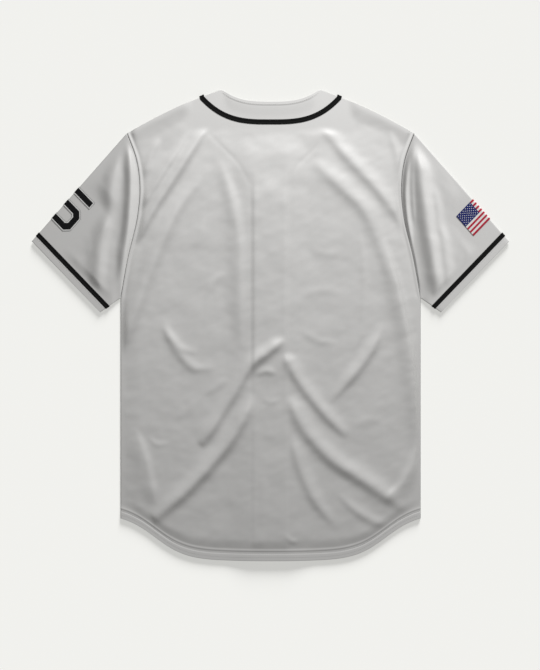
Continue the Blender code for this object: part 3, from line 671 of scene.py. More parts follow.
@dataclass(frozen=True)
class FlagFinish:
    """Flag cloth: thirteen stripes and a canton, by the patch's own UV map, in satin stitch."""

    red: tuple[float, float, float] = (0.43, 0.020, 0.045)
    white: tuple[float, float, float] = (0.72, 0.72, 0.70)
    blue: tuple[float, float, float] = (0.010, 0.016, 0.120)
    stripes: int = 13
    canton_fly: float = 0.4
    canton_stripes: int = 7

    def build(self) -> bpy.types.Material:
        """Makes the material.

        Returns:
            Flag cloth, with thread relief and a painted shade between its stitches across its stripes.
        """
        material = bpy.data.materials.new("flag_embroidery")
        material.use_nodes = True
        sheet = NodeSheet(material.node_tree)
        shader = material.node_tree.nodes["Principled BSDF"]
        where = sheet.add("ShaderNodeTexCoord")
        parts = sheet.add("ShaderNodeSeparateXYZ", {0: where.outputs["UV"]})
        fly, hoist = parts.outputs[0], parts.outputs[1]
        count = sheet.math("FLOOR", sheet.math("MULTIPLY", hoist, float(self.stripes)))
        odd = sheet.math("MODULO", count, 2.0)
        striped = sheet.mix(odd, (*self.red, 1.0), (*self.white, 1.0))
        high = sheet.math("GREATER_THAN", hoist, 1 - self.canton_stripes / self.stripes)
        near = sheet.math("LESS_THAN", fly, self.canton_fly)
        colour = sheet.mix(sheet.math("MULTIPLY", high, near), striped, (*self.blue, 1.0))
        threads = sheet.add("ShaderNodeGroup", node_tree=bpy.data.node_groups[Texture.TWILL.value])
        sheet.tree.links.new(where.outputs["Object"], threads.inputs["Vector"])
        threads.inputs["Pitch"].default_value = 0.0007
        threads.inputs["Lean"].default_value = -1.0
        # Painted shade: the stripes and the canton darken towards black by the threads' Shade, most in the grooves
        # between the stitches.
        share = sheet.math("MULTIPLY", threads.outputs["Shade"], 0.22)
        sheet.tree.links.new(sheet.mix(sheet.math("ABSOLUTE", share), colour, (0.02, 0.02, 0.02, 1.0)),
                             shader.inputs["Base Color"])
        bump = sheet.add("ShaderNodeBump", {"Height": threads.outputs["Height"], "Distance": 0.00008,
                                            "Strength": 0.6})
        sheet.tree.links.new(bump.outputs[0], shader.inputs["Normal"])
        shader.inputs["Roughness"].default_value = 0.7
        shader.inputs["Specular IOR Level"].default_value = 0.15
        return material


@dataclass(frozen=True)
class ButtonFinish:
    """Satin polyester button with faint marbling."""

    colour: tuple[float, float, float] = (0.42, 0.42, 0.41)
    roughness: float = 0.28

    def build(self) -> bpy.types.Material:
        """Makes the material.

        Returns:
            Grey plastic with soft clouds in it and a thin clear skin.
        """
        material = bpy.data.materials.new("button_plastic")
        material.use_nodes = True
        sheet = NodeSheet(material.node_tree)
        shader = material.node_tree.nodes["Principled BSDF"]
        where = sheet.add("ShaderNodeTexCoord")
        cloud = sheet.add("ShaderNodeTexNoise", {"Vector": where.outputs["Object"], "Scale": 260.0,
                                                 "Detail": 3.0, "Distortion": 1.2})
        deep = (*(c * 0.8 for c in self.colour), 1.0)
        pale = (*(c * 1.15 for c in self.colour), 1.0)
        sheet.tree.links.new(sheet.mix(cloud.outputs[0], deep, pale), shader.inputs["Base Color"])
        sheet.tree.links.new(sheet.math("ADD", self.roughness, sheet.math("MULTIPLY", cloud.outputs[0], 0.1)),
                             shader.inputs["Roughness"])
        shader.inputs["Coat Weight"].default_value = 0.3
        return material


@dataclass
class Finishes:
    """Every material of the jersey, each built once."""

    knit: bpy.types.Material = field(init=False)
    braid: bpy.types.Material = field(init=False)
    sleeve_braid: bpy.types.Material = field(init=False)
    twill: bpy.types.Material = field(init=False)
    inline: bpy.types.Material = field(init=False)
    flag: bpy.types.Material = field(init=False)
    star: bpy.types.Material = field(init=False)
    button: bpy.types.Material = field(init=False)
    thread: bpy.types.Material = field(init=False)

    def __post_init__(self) -> None:
        """Builds the groups and then the materials."""
        knit_group()
        twill_group()
        black = (0.006, 0.006, 0.006)
        self.knit = ClothFinish("jersey_knit", (0.585, 0.580, 0.570), Texture.KNIT, 0.50, 0.10,
                                shade_depth=0.05, gloss=0.5).build()
        self.braid = ClothFinish("neck_braid_black", black, Texture.TWILL, 0.8, 0.0, 0.00012, 0.5,
                                 0.0014, on_uv=(0.0085, 0.62)).build()
        self.sleeve_braid = ClothFinish("sleeve_braid_black", black, Texture.TWILL, 0.6, 0.0, 0.00012,
                                        0.5, 0.0014, on_uv=(0.34, 0.008)).build()
        self.twill = ClothFinish("number_twill", (0.007, 0.007, 0.008), Texture.TWILL, 0.6, 0.0, 0.00008,
                                 0.5, 0.0008).build()
        self.inline = ClothFinish("number_inline", (0.62, 0.62, 0.61), Texture.TWILL, 0.55, 0.1, 0.00008,
                                  0.2, 0.0006).build()
        self.flag = FlagFinish().build()
        self.star = ClothFinish("star_thread", (0.75, 0.75, 0.74), Texture.TWILL, 0.5, 0.1, 0.00004,
                                0.12, 0.0004).build()
        self.button = ButtonFinish().build()
        self.thread = ClothFinish("sewing_thread", (0.50, 0.50, 0.49), Texture.TWILL, 0.5, 0.1, 0.00004,
                                  0.2, 0.0004).build()


def graded(share: Array, fine: float = 0.03, reach: float = 0.008) -> Array:
    """Crowds the lines of a grid towards both its edges.

    Args:
        share: Even shares from 0 to 1.
        fine: Share of the lines that each edge gets.
        reach: Share of the width that they cover there.

    Returns:
        The uneven shares.
    """
    return np.interp(share, (0.0, fine, 1 - fine, 1.0), (0.0, reach, 1 - reach, 1.0))


@dataclass
class BodyCloth:
    """What the back and the fronts share: the plan of their grid and their turned hem."""

    finishes: Finishes
    hem_band: float = 0.0138
    hem_rise: float = 0.0006
    hem_tilt: float = 0.0010
    edge_roll: float = 0.0030

    def plan(self, low: Array, high: Array, outward: Array, top: Callable[[Array], Array],
             along: Array) -> tuple[Array, Array]:
        """Plan places from shares of the body's length.

        Args:
            low: Places across at the hem.
            high: Places across at the top.
            outward: 0 inside the neck corner, 1 at the side.
            top: Upper outline.
            along: Shares of the side's height.

        Returns:
            Places across and along.
        """
        base = PATTERN.hem(PATTERN.half_chest)
        height = base + (PATTERN.tip_y - base) * along
        half = PATTERN.half_width(height)
        x = np.where(outward > 0, PATTERN.neck_half + (half - PATTERN.neck_half) * outward, low)
        y = PATTERN.hem(low) + (top(high) - PATTERN.hem(low)) * along
        return x, y

    def hem_form(self, above: Array) -> Array:
        """Rise of the turned hem band, with the ditch of its stitching, by the height above the hem."""
        tilt = self.hem_rise + self.hem_tilt * (1 - above / self.hem_band)
        band = tilt * (1 - ease(self.hem_band - 0.0006, self.hem_band + 0.0012, above))
        ditch = 0.0006 * np.exp(-((above - self.hem_band + 0.0012) / 0.0011) ** 2)
        ridge = 0.0007 * np.exp(-((above - self.hem_band - 0.0038) / 0.0022) ** 2)
        return band - ditch + ridge


@dataclass
class BackPanel(BodyCloth):
    """The back, which carries the folds."""

    columns: int = 172
    rows: int = 262
    air: float = 0.0030
    shoulder_ridge: float = 0.0034
    placket_edge: float = 0.0285
    placket_step: float = 0.0030
    neck_band: float = 0.0065
    collar_rise: float = 0.0014
    button_top: float = 0.232
    button_pitch: float = 0.105
    buttons: int = 6
    button_print: float = 0.0007
    button_print_x: float = 0.010
    button_print_y: float = 0.011

    def lift(self, x: Array, y: Array) -> Array:
        """Height of the outer face without folds, over the plackets and the neck trim."""
        plateau = STACK.right_lift * zone(x, y, *PLACKET_ZONE)
        neck = STACK.trim_lift * zone(x, y, *BACK_NECK_ZONE)
        return 2 * STACK.cloth + STACK.gap + np.maximum(plateau, neck)

    def folds(self, x: Array, y: Array) -> Array:
        """Folds and ripples, dying out at the seams and under the braid."""
        side = PATTERN.half_width(y) - np.abs(x)
        above = y - PATTERN.hem(x)
        below = PATTERN.back_top(np.minimum(np.abs(x), PATTERN.tip_x)) - y
        braid = 1 - zone(x, y, *BRAID_ZONE)
        air = self.air * ease(0.002, 0.036, side) * ease(0.014, 0.037, above) * ease(0.030, 0.150, below)
        edge = self.shoulder_ridge * (1 - ease(0.003, 0.032, below))
        rise = crease_rise(x, y, BACK_CREASES) + Ripples().rise(x, y)
        strip = ease(-self.placket_edge - 0.004, -self.placket_edge + 0.001, x)
        strip = strip * (1 - ease(self.placket_edge - 0.004, self.placket_edge + 0.005, x))
        rise += self.placket_step * strip * ease(0.27, 0.20, y) * (0.3 + 0.7 * ease(-0.11, -0.05, y))
        for number in range(self.buttons):
            centre = self.button_top - self.button_pitch * number
            print_x, print_y = x / self.button_print_x, (y - centre) / self.button_print_y
            rise += self.button_print * np.exp(-(print_x ** 2 + print_y ** 2))
        hold = ease(0.0, 0.014, side) * ease(0.003, 0.026, below) * ease(0.012, 0.034, above)
        return (rise * hold + air + edge * ease(0.004, 0.016, side)) * braid

    def edge_form(self, x: Array, y: Array) -> Array:
        """Fall of the cloth round its side and shoulder edges, the seams' ditch, and the hem band."""
        side = PATTERN.half_width(y) - np.abs(x)
        top = PATTERN.back_top(np.minimum(np.abs(x), PATTERN.tip_x)) - y
        shoulder = np.where(np.abs(x) > PATTERN.neck_half, 2 * top, 1.0)
        edge = np.minimum(side, shoulder)
        arm = ease(PATTERN.underarm - 0.004, PATTERN.underarm + 0.010, y)
        close = np.clip(1 - edge * (1 + arm) / self.edge_roll, 0.0, 1.0)
        roll = STACK.cloth * (1 - np.sqrt(1 - np.minimum(close, 0.995) ** 2))
        ditch = 0.0007 * arm * np.exp(-((side - 0.0068) / 0.0030) ** 2)
        piping = 0.0005 * arm * np.exp(-((side - 0.0025) / 0.0016) ** 2)
        neck = np.where(np.abs(x) < PATTERN.neck_half, top, 1.0)
        fold = 0.00045 * (1 - ease(self.neck_band - 0.0006, self.neck_band + 0.0006, neck))
        collar = self.collar_rise * (1 - ease(0.004, 0.030, neck))
        fold = (fold + collar) * (1 - ease(0.068, 0.0835, np.abs(x)))
        return self.hem_form(y - PATTERN.hem(x)) + fold + piping - roll - ditch

    def surface(self, x: Array, y: Array) -> Array:
        """Points of the back's outer face over plan places."""
        return np.stack((x, y, self.lift(x, y) + self.folds(x, y) + self.edge_form(x, y)), axis=-1)

    def place(self, across: Array, along: Array) -> Array:
        """Points for shares of the grid."""
        signed = 2 * graded(across, 0.06, 0.02) - 1
        reach = np.abs(signed)
        centre = PATTERN.neck_half / PATTERN.half_chest
        inward = np.minimum(reach / centre, 1.0) * PATTERN.neck_half
        outward = np.clip((reach - centre) / (1 - centre), 0.0, 1.0)
        low = inward + (PATTERN.half_chest - PATTERN.neck_half) * outward
        high = inward + (PATTERN.tip_x - PATTERN.neck_half) * outward
        rows = np.interp(along, (0.0, 0.11, 0.95, 1.0), (0.0, 0.029, 0.988, 1.0))
        x, y = self.plan(low, high, outward, PATTERN.back_top, rows)
        return self.surface(np.sign(signed) * x, y)

    def build(self) -> bpy.types.Object:
        """Makes the back, gives it its wall and material, and hides the frame's back."""
        piece = lay_grid("back_cloth", self.columns, self.rows, self.place)
        thicken(piece, STACK.shell)
        dress(piece, "jersey_knit", self.finishes.knit)
        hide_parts("back")
        return piece


@dataclass
class FrontPanel(BodyCloth):
    """One front, whose outer face lies on the surface."""

    side: Side = Side.LEFT
    columns: int = 74
    rows: int = 130
    placket_half: float = 0.017
    ramp_end: float = 0.060

    def lift(self, x: Array, y: Array) -> Array:
        """Height of the outer face, over the buttons and the neck trim."""
        placket = STACK.left_lift if self.side is Side.LEFT else STACK.right_lift
        ramp = 1 - np.clip((np.abs(x) - self.placket_half) / (self.ramp_end - self.placket_half), 0.0, 1.0)
        neck = STACK.trim_lift * zone(x, y, *FRONT_NECK_ZONE)
        return np.maximum(placket * ramp, neck)

    def place(self, across: Array, along: Array) -> Array:
        """Points of the inner face for shares of the grid."""
        share = graded(across, 0.03, 0.012)
        centre = 0.36
        inward = -self.placket_half + (PATTERN.neck_half + self.placket_half) * np.minimum(share / centre, 1.0)
        outward = np.clip((share - centre) / (1 - centre), 0.0, 1.0)
        low = inward + (PATTERN.half_chest - PATTERN.neck_half) * outward
        high = inward + (PATTERN.tip_x - PATTERN.neck_half) * outward
        x, y = self.plan(low, high, outward, PATTERN.front_top, graded(along, 0.02, 0.006))
        edge = PATTERN.half_width(y) - np.abs(x)
        close = np.clip(1 - edge / self.edge_roll, 0.0, 1.0)
        roll = 0.0006 * (1 - np.sqrt(1 - np.minimum(close, 0.995) ** 2))
        height = self.lift(x, y) + STACK.shell + roll + 0.4 * self.hem_form(y - PATTERN.hem(x))
        return np.stack((self.side.value * x, y, height), axis=-1)

    def build(self) -> bpy.types.Object:
        """Makes the front, gives it its wall and material, and hides the frame's front."""
        piece = lay_grid("front_cloth_" + self.side.word, self.columns, self.rows, self.place)
        if self.side is Side.LEFT:
            piece.data.flip_normals()
        thicken(piece, STACK.shell)
        dress(piece, "jersey_knit", self.finishes.knit)
        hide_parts("front_" + self.side.word)
        return piece


@dataclass
class SleeveTube:
    """One short sleeve: a closed tube pressed flat, with its trim."""

    side: Side
    creases: tuple[Crease, ...]
    patch_top: float
    finishes: Finishes
    patch_reach: float = 0.0405
    air: float = 0.0016
    tip: tuple[float, float] = (0.4104, 0.144)
    under: tuple[float, float] = (0.293, 0.0216)
    braid_from_hem: float = 0.0115
    braid_width: float = 0.008
    seam_gap: float = 0.00035
    top_columns: int = 72
    bend_columns: int = 10
    under_columns: int = 40
    rows: int = 84

    def __post_init__(self) -> None:
        """Works out the fold lines of the flattened tube."""
        tip, under = np.array(self.tip), np.array(self.under)
        along = tip - (PATTERN.tip_x, PATTERN.tip_y)
        along = along / np.linalg.norm(along)
        self.upper_side = np.array((-along[1], along[0]))
        down = under - (PATTERN.half_chest, PATTERN.underarm)
        down = down / np.linalg.norm(down)
        self.under_side = np.array((down[1], -down[0]))
        radius = STACK.fold_radius
        self.tip_axis = tip - self.upper_side * radius
        self.under_axis = under - self.under_side * radius
        hem = self.tip_axis - self.under_axis
        self.hem_way = hem / np.linalg.norm(hem)
        self.hem_out = np.array((self.hem_way[1], -self.hem_way[0]))
        self.shoulder_axis = self.seam(np.array(PATTERN.tip_y - 1.06 * radius))
        self.arm_axis = self.seam(np.array(PATTERN.underarm)) - self.under_side * radius

    def seam(self, height: Array) -> Array:
        """Points of the armhole seam on the sleeve's own edge."""
        return np.stack((PATTERN.half_width(height) + self.seam_gap, height), axis=-1)

    def from_hem(self, point: Array) -> Array:
        """Distances of plan points from the hem line."""
        return (self.tip_axis - point) @ self.hem_out

    def plan(self, share: Array, way: Array) -> Array:
        """Plan points at shares across and shares of the way from armhole to hem."""
        height = PATTERN.underarm + (PATTERN.tip_y - PATTERN.underarm) * share
        start = self.seam(height)
        start = np.where((share <= 0)[:, None], self.arm_axis, start)
        start = np.where((share >= 1)[:, None], self.shoulder_axis, start)
        end = self.under_axis + (self.tip_axis - self.under_axis) * share[:, None]
        return start + (end - start) * way[:, None]

    def rise(self, point: Array, way: Array, share: Array) -> Array:
        """Folds, ripples and seam ditch of the top layer."""
        left = self.from_hem(point)
        edge = ease(0.0, 0.12, share) * ease(0.0, 0.12, 1 - share)
        across = (self.tip_axis - point) @ self.hem_way
        patch = ease(0.0015, 0.032, np.hypot(np.maximum(across - self.patch_reach, 0),
                                            np.maximum(left - self.patch_top, 0)))
        x = self.side.value * point[:, 0]
        folds = crease_rise(x, point[:, 1], self.creases) + Ripples(seed=11).rise(x, point[:, 1])
        folds = (folds + self.air) * edge * ease(0.0, 0.05, way) * ease(0.0205, 0.036, left) * patch
        from_seam = way * np.maximum(left / np.maximum(1 - way, 0.02), 0.04)
        ditch = 0.0006 * np.exp(-(from_seam / 0.004) ** 2) * edge
        return folds - ditch

    def hem_form(self, left: Array) -> Array:
        """Turned hem of the sleeve, which ends under its braid."""
        return 0.0004 * (1 - ease(self.braid_from_hem - 0.001, self.braid_from_hem, left))

    def skin(self, around: Array, way: Array, radius: Array | float) -> Array:
        """Points of the tube.

        Args:
            around: Place round the ring, in columns.
            way: Share of the way from armhole to hem.
            radius: Distance from the middle of the cloth stack.

        Returns:
            The points.
        """
        top, bend, under = self.top_columns, self.bend_columns, self.under_columns
        turn = np.pi * (np.clip(around, 0, bend) / bend - 0.5)
        back = np.pi * (0.5 - np.clip(around - bend - top, 0, bend) / bend)
        is_upper = around <= bend
        is_top = (around > bend) & (around < bend + top)
        is_lower = (around >= bend + top) & (around <= 2 * bend + top)
        share = np.where(is_upper, 1.0, 0.0)
        share = np.where(is_top, 1 - (around - bend) / top, share)
        is_under = around > 2 * bend + top
        share = np.where(is_under, (around - 2 * bend - top) / under, share)
        point = self.plan(share, way)
        lift = STACK.trim_lift * ease(0.08, 0.42, way) + STACK.fold_radius
        angle = np.where(is_upper, turn, back)
        side = np.where(is_upper[:, None], self.upper_side, self.under_side)
        on_bend = is_upper | is_lower
        out = np.where(on_bend, radius * np.cos(angle), 0.0)
        up = np.where(on_bend, np.sin(angle), np.where(is_top, 1.0, -1.0))
        height = lift + up * radius
        form = self.rise(point, way, share) + self.hem_form(self.from_hem(point)) * np.minimum(edge_share(share), 1)
        height = height + np.where(is_top, form, 0.0)
        point = point + side * out[:, None]
        return np.stack((self.side.value * point[:, 0], point[:, 1], height), axis=-1)

    @property
    def ring(self) -> int:
        """Number of columns round the tube."""
        return self.top_columns + 2 * self.bend_columns + self.under_columns

    def band(self, around: Array, left: Array, radius: Array | float) -> Array:
        """Points of the tube at distances from the hem."""
        top = self.plan(self.share_of(around), np.zeros_like(left))
        way = 1 - left / self.from_hem(top)
        return self.skin(around, way, radius)

    def share_of(self, around: Array) -> Array:
        """Share across for places round the ring."""
        knots = np.cumsum((0, self.bend_columns, self.top_columns, self.bend_columns, self.under_columns))
        return np.interp(around, knots, (1.0, 1.0, 0.0, 0.0, 1.0))

    def build_cloth(self) -> bpy.types.Object:
        """Makes the tube of cloth."""
        def place(across: Array, along: Array) -> Array:
            around = np.mod(np.round(across * self.ring), self.ring)
            return self.skin(around, graded(along, 0.05, 0.02), STACK.fold_radius)

        piece = lay_grid("sleeve_cloth_" + self.side.word, self.ring, self.rows, place, wrap=True)
        thicken(piece, STACK.shell)
        dress(piece, "jersey_knit", self.finishes.knit)
        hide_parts("sleeve_" + self.side.word)
        return piece

    def build_braid(self) -> bpy.types.Object:
        """Makes the two-rib braid round the sleeve."""
        def place(across: Array, along: Array) -> Array:
            around = np.mod(np.round(across * self.ring), self.ring)
            rib = np.abs(np.sin(2 * math.pi * along)) ** 0.5
            radius = STACK.fold_radius + STACK.gap + STACK.trim - 0.00045 * (1 - rib)
            return self.band(around, self.braid_from_hem + self.braid_width * along, radius)

        piece = lay_grid("braid_" + self.side.word, self.ring, 16, place, wrap=True)
        thicken(piece, 0.0005)
        dress(piece, "braid", self.finishes.sleeve_braid)
        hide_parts("sleeve_braid_" + self.side.word)
        return piece

    def patch_skin(self, across: Array, up: Array, radius: float) -> Array:
        """Points on the plain outer part of the sleeve; across counts from its upper fold."""
        depth = self.from_hem(self.shoulder_axis)
        axis = self.tip_axis + (self.shoulder_axis - self.tip_axis) * (up / depth)[:, None]
        quarter = STACK.fold_radius * math.pi / 2
        flat = np.maximum(np.abs(across) - quarter, 0.0)
        angle = np.clip(across / STACK.fold_radius, -math.pi / 2, math.pi / 2)
        point = axis - self.hem_way * flat[:, None]
        point = point + self.upper_side * (radius * np.cos(angle))[:, None]
        height = STACK.trim_lift + STACK.fold_radius + radius * np.sin(angle)
        return np.stack((self.side.value * point[:, 0], point[:, 1], height), axis=-1)


def edge_share(share: Array) -> Array:
    """1 away from a sleeve's folds, easing to 0 at them."""
    return ease(0.0, 0.03, share) * ease(0.0, 0.03, 1 - share)


@dataclass
class SleeveNumber:
    """Layered twill numeral: black ground, pale line, black face, sewn round the sleeve's fold."""

    sleeve: SleeveTube
    finishes: Finishes
    width: float = 0.0576
    height: float = 0.073
    shown: float = 0.0396
    stroke: float = 0.0145
    chamfer: float = 0.010
    from_hem: float = 0.0505
    border: float = 0.0018
    line: float = 0.0019

    def outline(self) -> list[tuple[float, float]]:
        """Corners of the block numeral, as places across and up the sleeve."""
        w, h, s, c = self.width, self.height, self.stroke, self.chamfer
        bar_top, bar_low, hook, nick = 0.63 * h, 0.43 * h, 0.31 * h, 0.2 * s
        points = [
            (0, h), (w, h), (w, h - s), (s, h - s), (s, bar_top), (w - c, bar_top), (w, bar_top - c),
            (w, c), (w - c, 0), (c, 0), (0, c), (0, hook), (s, hook), (s, s + nick), (s + nick, s),
            (w - s - nick, s), (w - s, s + nick), (w - s, bar_low - nick), (w - s - nick, bar_low),
            (0, bar_low),
        ]
        return [(x - w + self.shown, y + self.from_hem) for x, y in points]

    def build(self) -> bpy.types.Object:
        """Makes the numeral: its outline is inset twice, creased at the bend and given its layers."""
        work = bmesh.new()
        face = work.faces.new([work.verts.new((x, y, 0.0)) for x, y in self.outline()])
        bmesh.ops.inset_region(work, faces=[face], thickness=self.border, use_even_offset=True,
                               use_boundary=True)
        bmesh.ops.inset_region(work, faces=[face], thickness=0.0003, use_even_offset=True)
        before = set(work.faces)
        bmesh.ops.inset_region(work, faces=[face], thickness=self.line, use_even_offset=True)
        for ring in set(work.faces) - before:
            ring.material_index = 1
        bmesh.ops.inset_region(work, faces=[face], thickness=0.0003, use_even_offset=True)
        steps = [math.pi * (step / 10 - 0.5) for step in range(11)]
        for angle in steps:
            bmesh.ops.bisect_plane(work, geom=work.verts[:] + work.edges[:] + work.faces[:], dist=1e-7,
                                   plane_co=(angle * STACK.fold_radius, 0, 0), plane_no=(1, 0, 0))
        bmesh.ops.triangulate(work, faces=[f for f in work.faces if len(f.verts) > 4])
        plan = np.array([vert.co[:2] for vert in work.verts])
        seat = STACK.fold_radius + STACK.gap + STACK.trim
        low = self.sleeve.patch_skin(plan[:, 0], plan[:, 1], seat - 0.0003)
        for vert, point in zip(work.verts, low.tolist()):
            vert.co = point
        bmesh.ops.recalc_face_normals(work, faces=work.faces[:])
        work.normal_update()
        face_up(work)
        piece = link("number_applique", work)
        thicken(piece, 0.0005)
        dress(piece, "numeral_twill", self.finishes.twill, self.finishes.inline)
        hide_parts("sleeve_number")
        return piece


@dataclass
class FlagPatch:
    """Embroidered flag with its hoist towards the back, sewn round the sleeve's fold."""

    sleeve: SleeveTube
    finishes: Finishes
    hoist: float = 0.045
    fly: float = 0.0855
    shown: float = 0.0414
    from_hem: float = 0.0505
    star_rows: int = 9
    star_columns: int = 11
    star_radius: float = 0.00105

    def skin(self, fly: Array, hoist: Array, rise: float) -> Array:
        """Points on the patch for shares of its fly and hoist."""
        across = self.shown - self.fly * fly
        return self.sleeve.patch_skin(across, self.from_hem + self.hoist * hoist,
                                      STACK.fold_radius + STACK.gap + STACK.trim + rise)

    def build(self) -> list[bpy.types.Object]:
        """Makes the cloth of the flag and its stars."""
        def place(across: Array, along: Array) -> Array:
            return self.skin(graded(across, 0.04, 0.02), along, -0.0001)

        cloth = lay_grid("flag_cloth", 110, 26, place)
        work = bmesh.new()
        work.from_mesh(cloth.data)
        face_up(work)
        work.to_mesh(cloth.data)
        work.free()
        thicken(cloth, 0.0006)
        dress(cloth, "flag_cloth", self.finishes.flag)
        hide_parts("flag_patch")
        stars = self.build_stars()
        return [cloth, stars]

    def build_stars(self) -> bpy.types.Object:
        """Makes the fifty stars as one raised satin-stitched mesh."""
        canton_fly, canton_hoist = 0.4, 7 / 13
        work = bmesh.new()
        for row in range(self.star_rows):
            for column in range(self.star_columns):
                if (row + column) % 2:
                    continue
                fly = canton_fly * (column + 1) / (self.star_columns + 1)
                hoist = 1 - canton_hoist * (row + 1) / (self.star_rows + 1)
                made = bmesh.ops.create_circle(work, cap_ends=True, segments=10, radius=self.star_radius)
                for number, vert in enumerate(made["verts"]):
                    reach = self.star_radius * (1.0 if number % 2 == 0 else 0.42)
                    turn = math.pi / 2 + number * math.pi / 5
                    x = fly * self.fly + reach * math.cos(turn)
                    y = hoist * self.hoist + reach * math.sin(turn)
                    place = self.skin(np.array([x / self.fly]), np.array([y / self.hoist]), 0.00008)
                    vert.co = place[0].tolist()
        bmesh.ops.recalc_face_normals(work, faces=work.faces[:])
        for face in work.faces:
            face.normal_update()
            if face.normal.z < 0:
                face.normal_flip()
        piece = link("flag_stars", work, smooth=False)
        thicken(piece, 0.00015)
        return dress(piece, "flag_cloth", self.finishes.star)


@dataclass
class NeckBraid:
    """Two-rib braid round the neck, over the back, the shoulders and down the front neckline."""

    back: BackPanel
    finishes: Finishes
    width: float = 0.0085
    back_height: float = 0.349
    end: tuple[float, float] = (0.118, 0.3905)
    curve: float = 3.1
    inset: float = 0.035
    front_start: float = 0.80
    columns: int = 16

    def half_path(self) -> tuple[Array, Array, Array]:
        """Plan points, ways across and angles of one half, from the back's middle to the placket."""
        x = self.end[0] * np.sin(np.linspace(0.0, 1.0, 60, endpoint=False) * math.pi / 2)
        rise = self.end[1] - self.back_height
        y = self.back_height + rise * (x / self.end[0]) ** self.curve
        slope = self.curve * rise / self.end[0] * (x / self.end[0]) ** (self.curve - 1)
        across = np.stack((-slope, np.ones_like(slope)), axis=-1)
        edge = np.array((self.end[0], float(PATTERN.shoulder(self.end[0]))))
        way = np.array((PATTERN.neck_half, PATTERN.top)) - (PATTERN.tip_x, PATTERN.tip_y)
        turns = np.pi * (0.5 - np.linspace(0.0, 1.0, 11))
        rise = self.front_start * (1 - np.linspace(0.0, 1.0, 60))
        left = 1 - rise
        power = 1 / PATTERN.front_neck_curve
        front_x = PATTERN.neck_half * (1 - left ** power)
        front_y = PATTERN.front_neck_bottom + (PATTERN.top - PATTERN.front_neck_bottom) * rise
        run = PATTERN.neck_half * power * left ** (power - 1)
        away = np.stack((np.full_like(run, PATTERN.top - PATTERN.front_neck_bottom), -run), axis=-1)
        away = away / np.linalg.norm(away, axis=1)[:, None]
        front = np.stack((front_x, front_y), axis=-1) + away * self.inset
        points = np.concatenate((np.stack((x, y), axis=-1), np.tile(edge, (11, 1)), front))
        ways = np.concatenate((across / np.linalg.norm(across, axis=1)[:, None],
                               np.tile(way / np.linalg.norm(way), (11, 1)), -away))
        angles = np.concatenate((np.full(60, math.pi / 2), turns, np.full(60, -math.pi / 2)))
        return points, ways, angles

    def build(self) -> bpy.types.Object:
        """Makes the braid as one band from placket to placket."""
        points, ways, angles = self.half_path()
        count = len(points)
        order = np.concatenate((np.arange(count - 1, -1, -1), np.arange(1, count)))
        signs = np.concatenate((np.ones(count), -np.ones(count - 1)))
        out = np.array((PATTERN.top - PATTERN.tip_y, PATTERN.tip_x - PATTERN.neck_half))
        out = out / np.linalg.norm(out)
        radius = (2 * STACK.cloth + STACK.gap) / 2
        middle = STACK.trim_lift + radius

        def place(across: Array, along: Array) -> Array:
            step = np.round(along * (len(order) - 1)).astype(int)
            index, sign = order[step], signs[step]
            rib = np.abs(np.sin(2 * math.pi * across)) ** 0.5
            away = radius + STACK.gap + STACK.trim - 0.00045 * (1 - rib)
            angle = angles[index]
            spot = points[index] + ways[index] * ((across - 0.5) * self.width)[:, None]
            spot = spot + out * (away * np.cos(angle))[:, None]
            height = middle + away * np.sin(angle)
            lift = np.where(sign > 0, STACK.right_lift, STACK.left_lift)
            ramp = 1 - np.clip((np.abs(spot[:, 0]) - 0.017) / 0.043, 0.0, 1.0)
            extra = np.maximum(lift * ramp, STACK.trim_lift) - STACK.trim_lift
            height = height + np.where(angle < -1.57, extra, 0.0)
            return np.stack((sign * spot[:, 0], spot[:, 1], height), axis=-1)

        piece = lay_grid("neck_braid_cloth", self.columns, len(order) - 1, place)
        work = bmesh.new()
        work.from_mesh(piece.data)
        face_up(work)
        work.to_mesh(piece.data)
        work.free()
        thicken(piece, 0.0005)
        dress(piece, "braid", self.finishes.braid)
        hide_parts("neck_braid")
        return piece


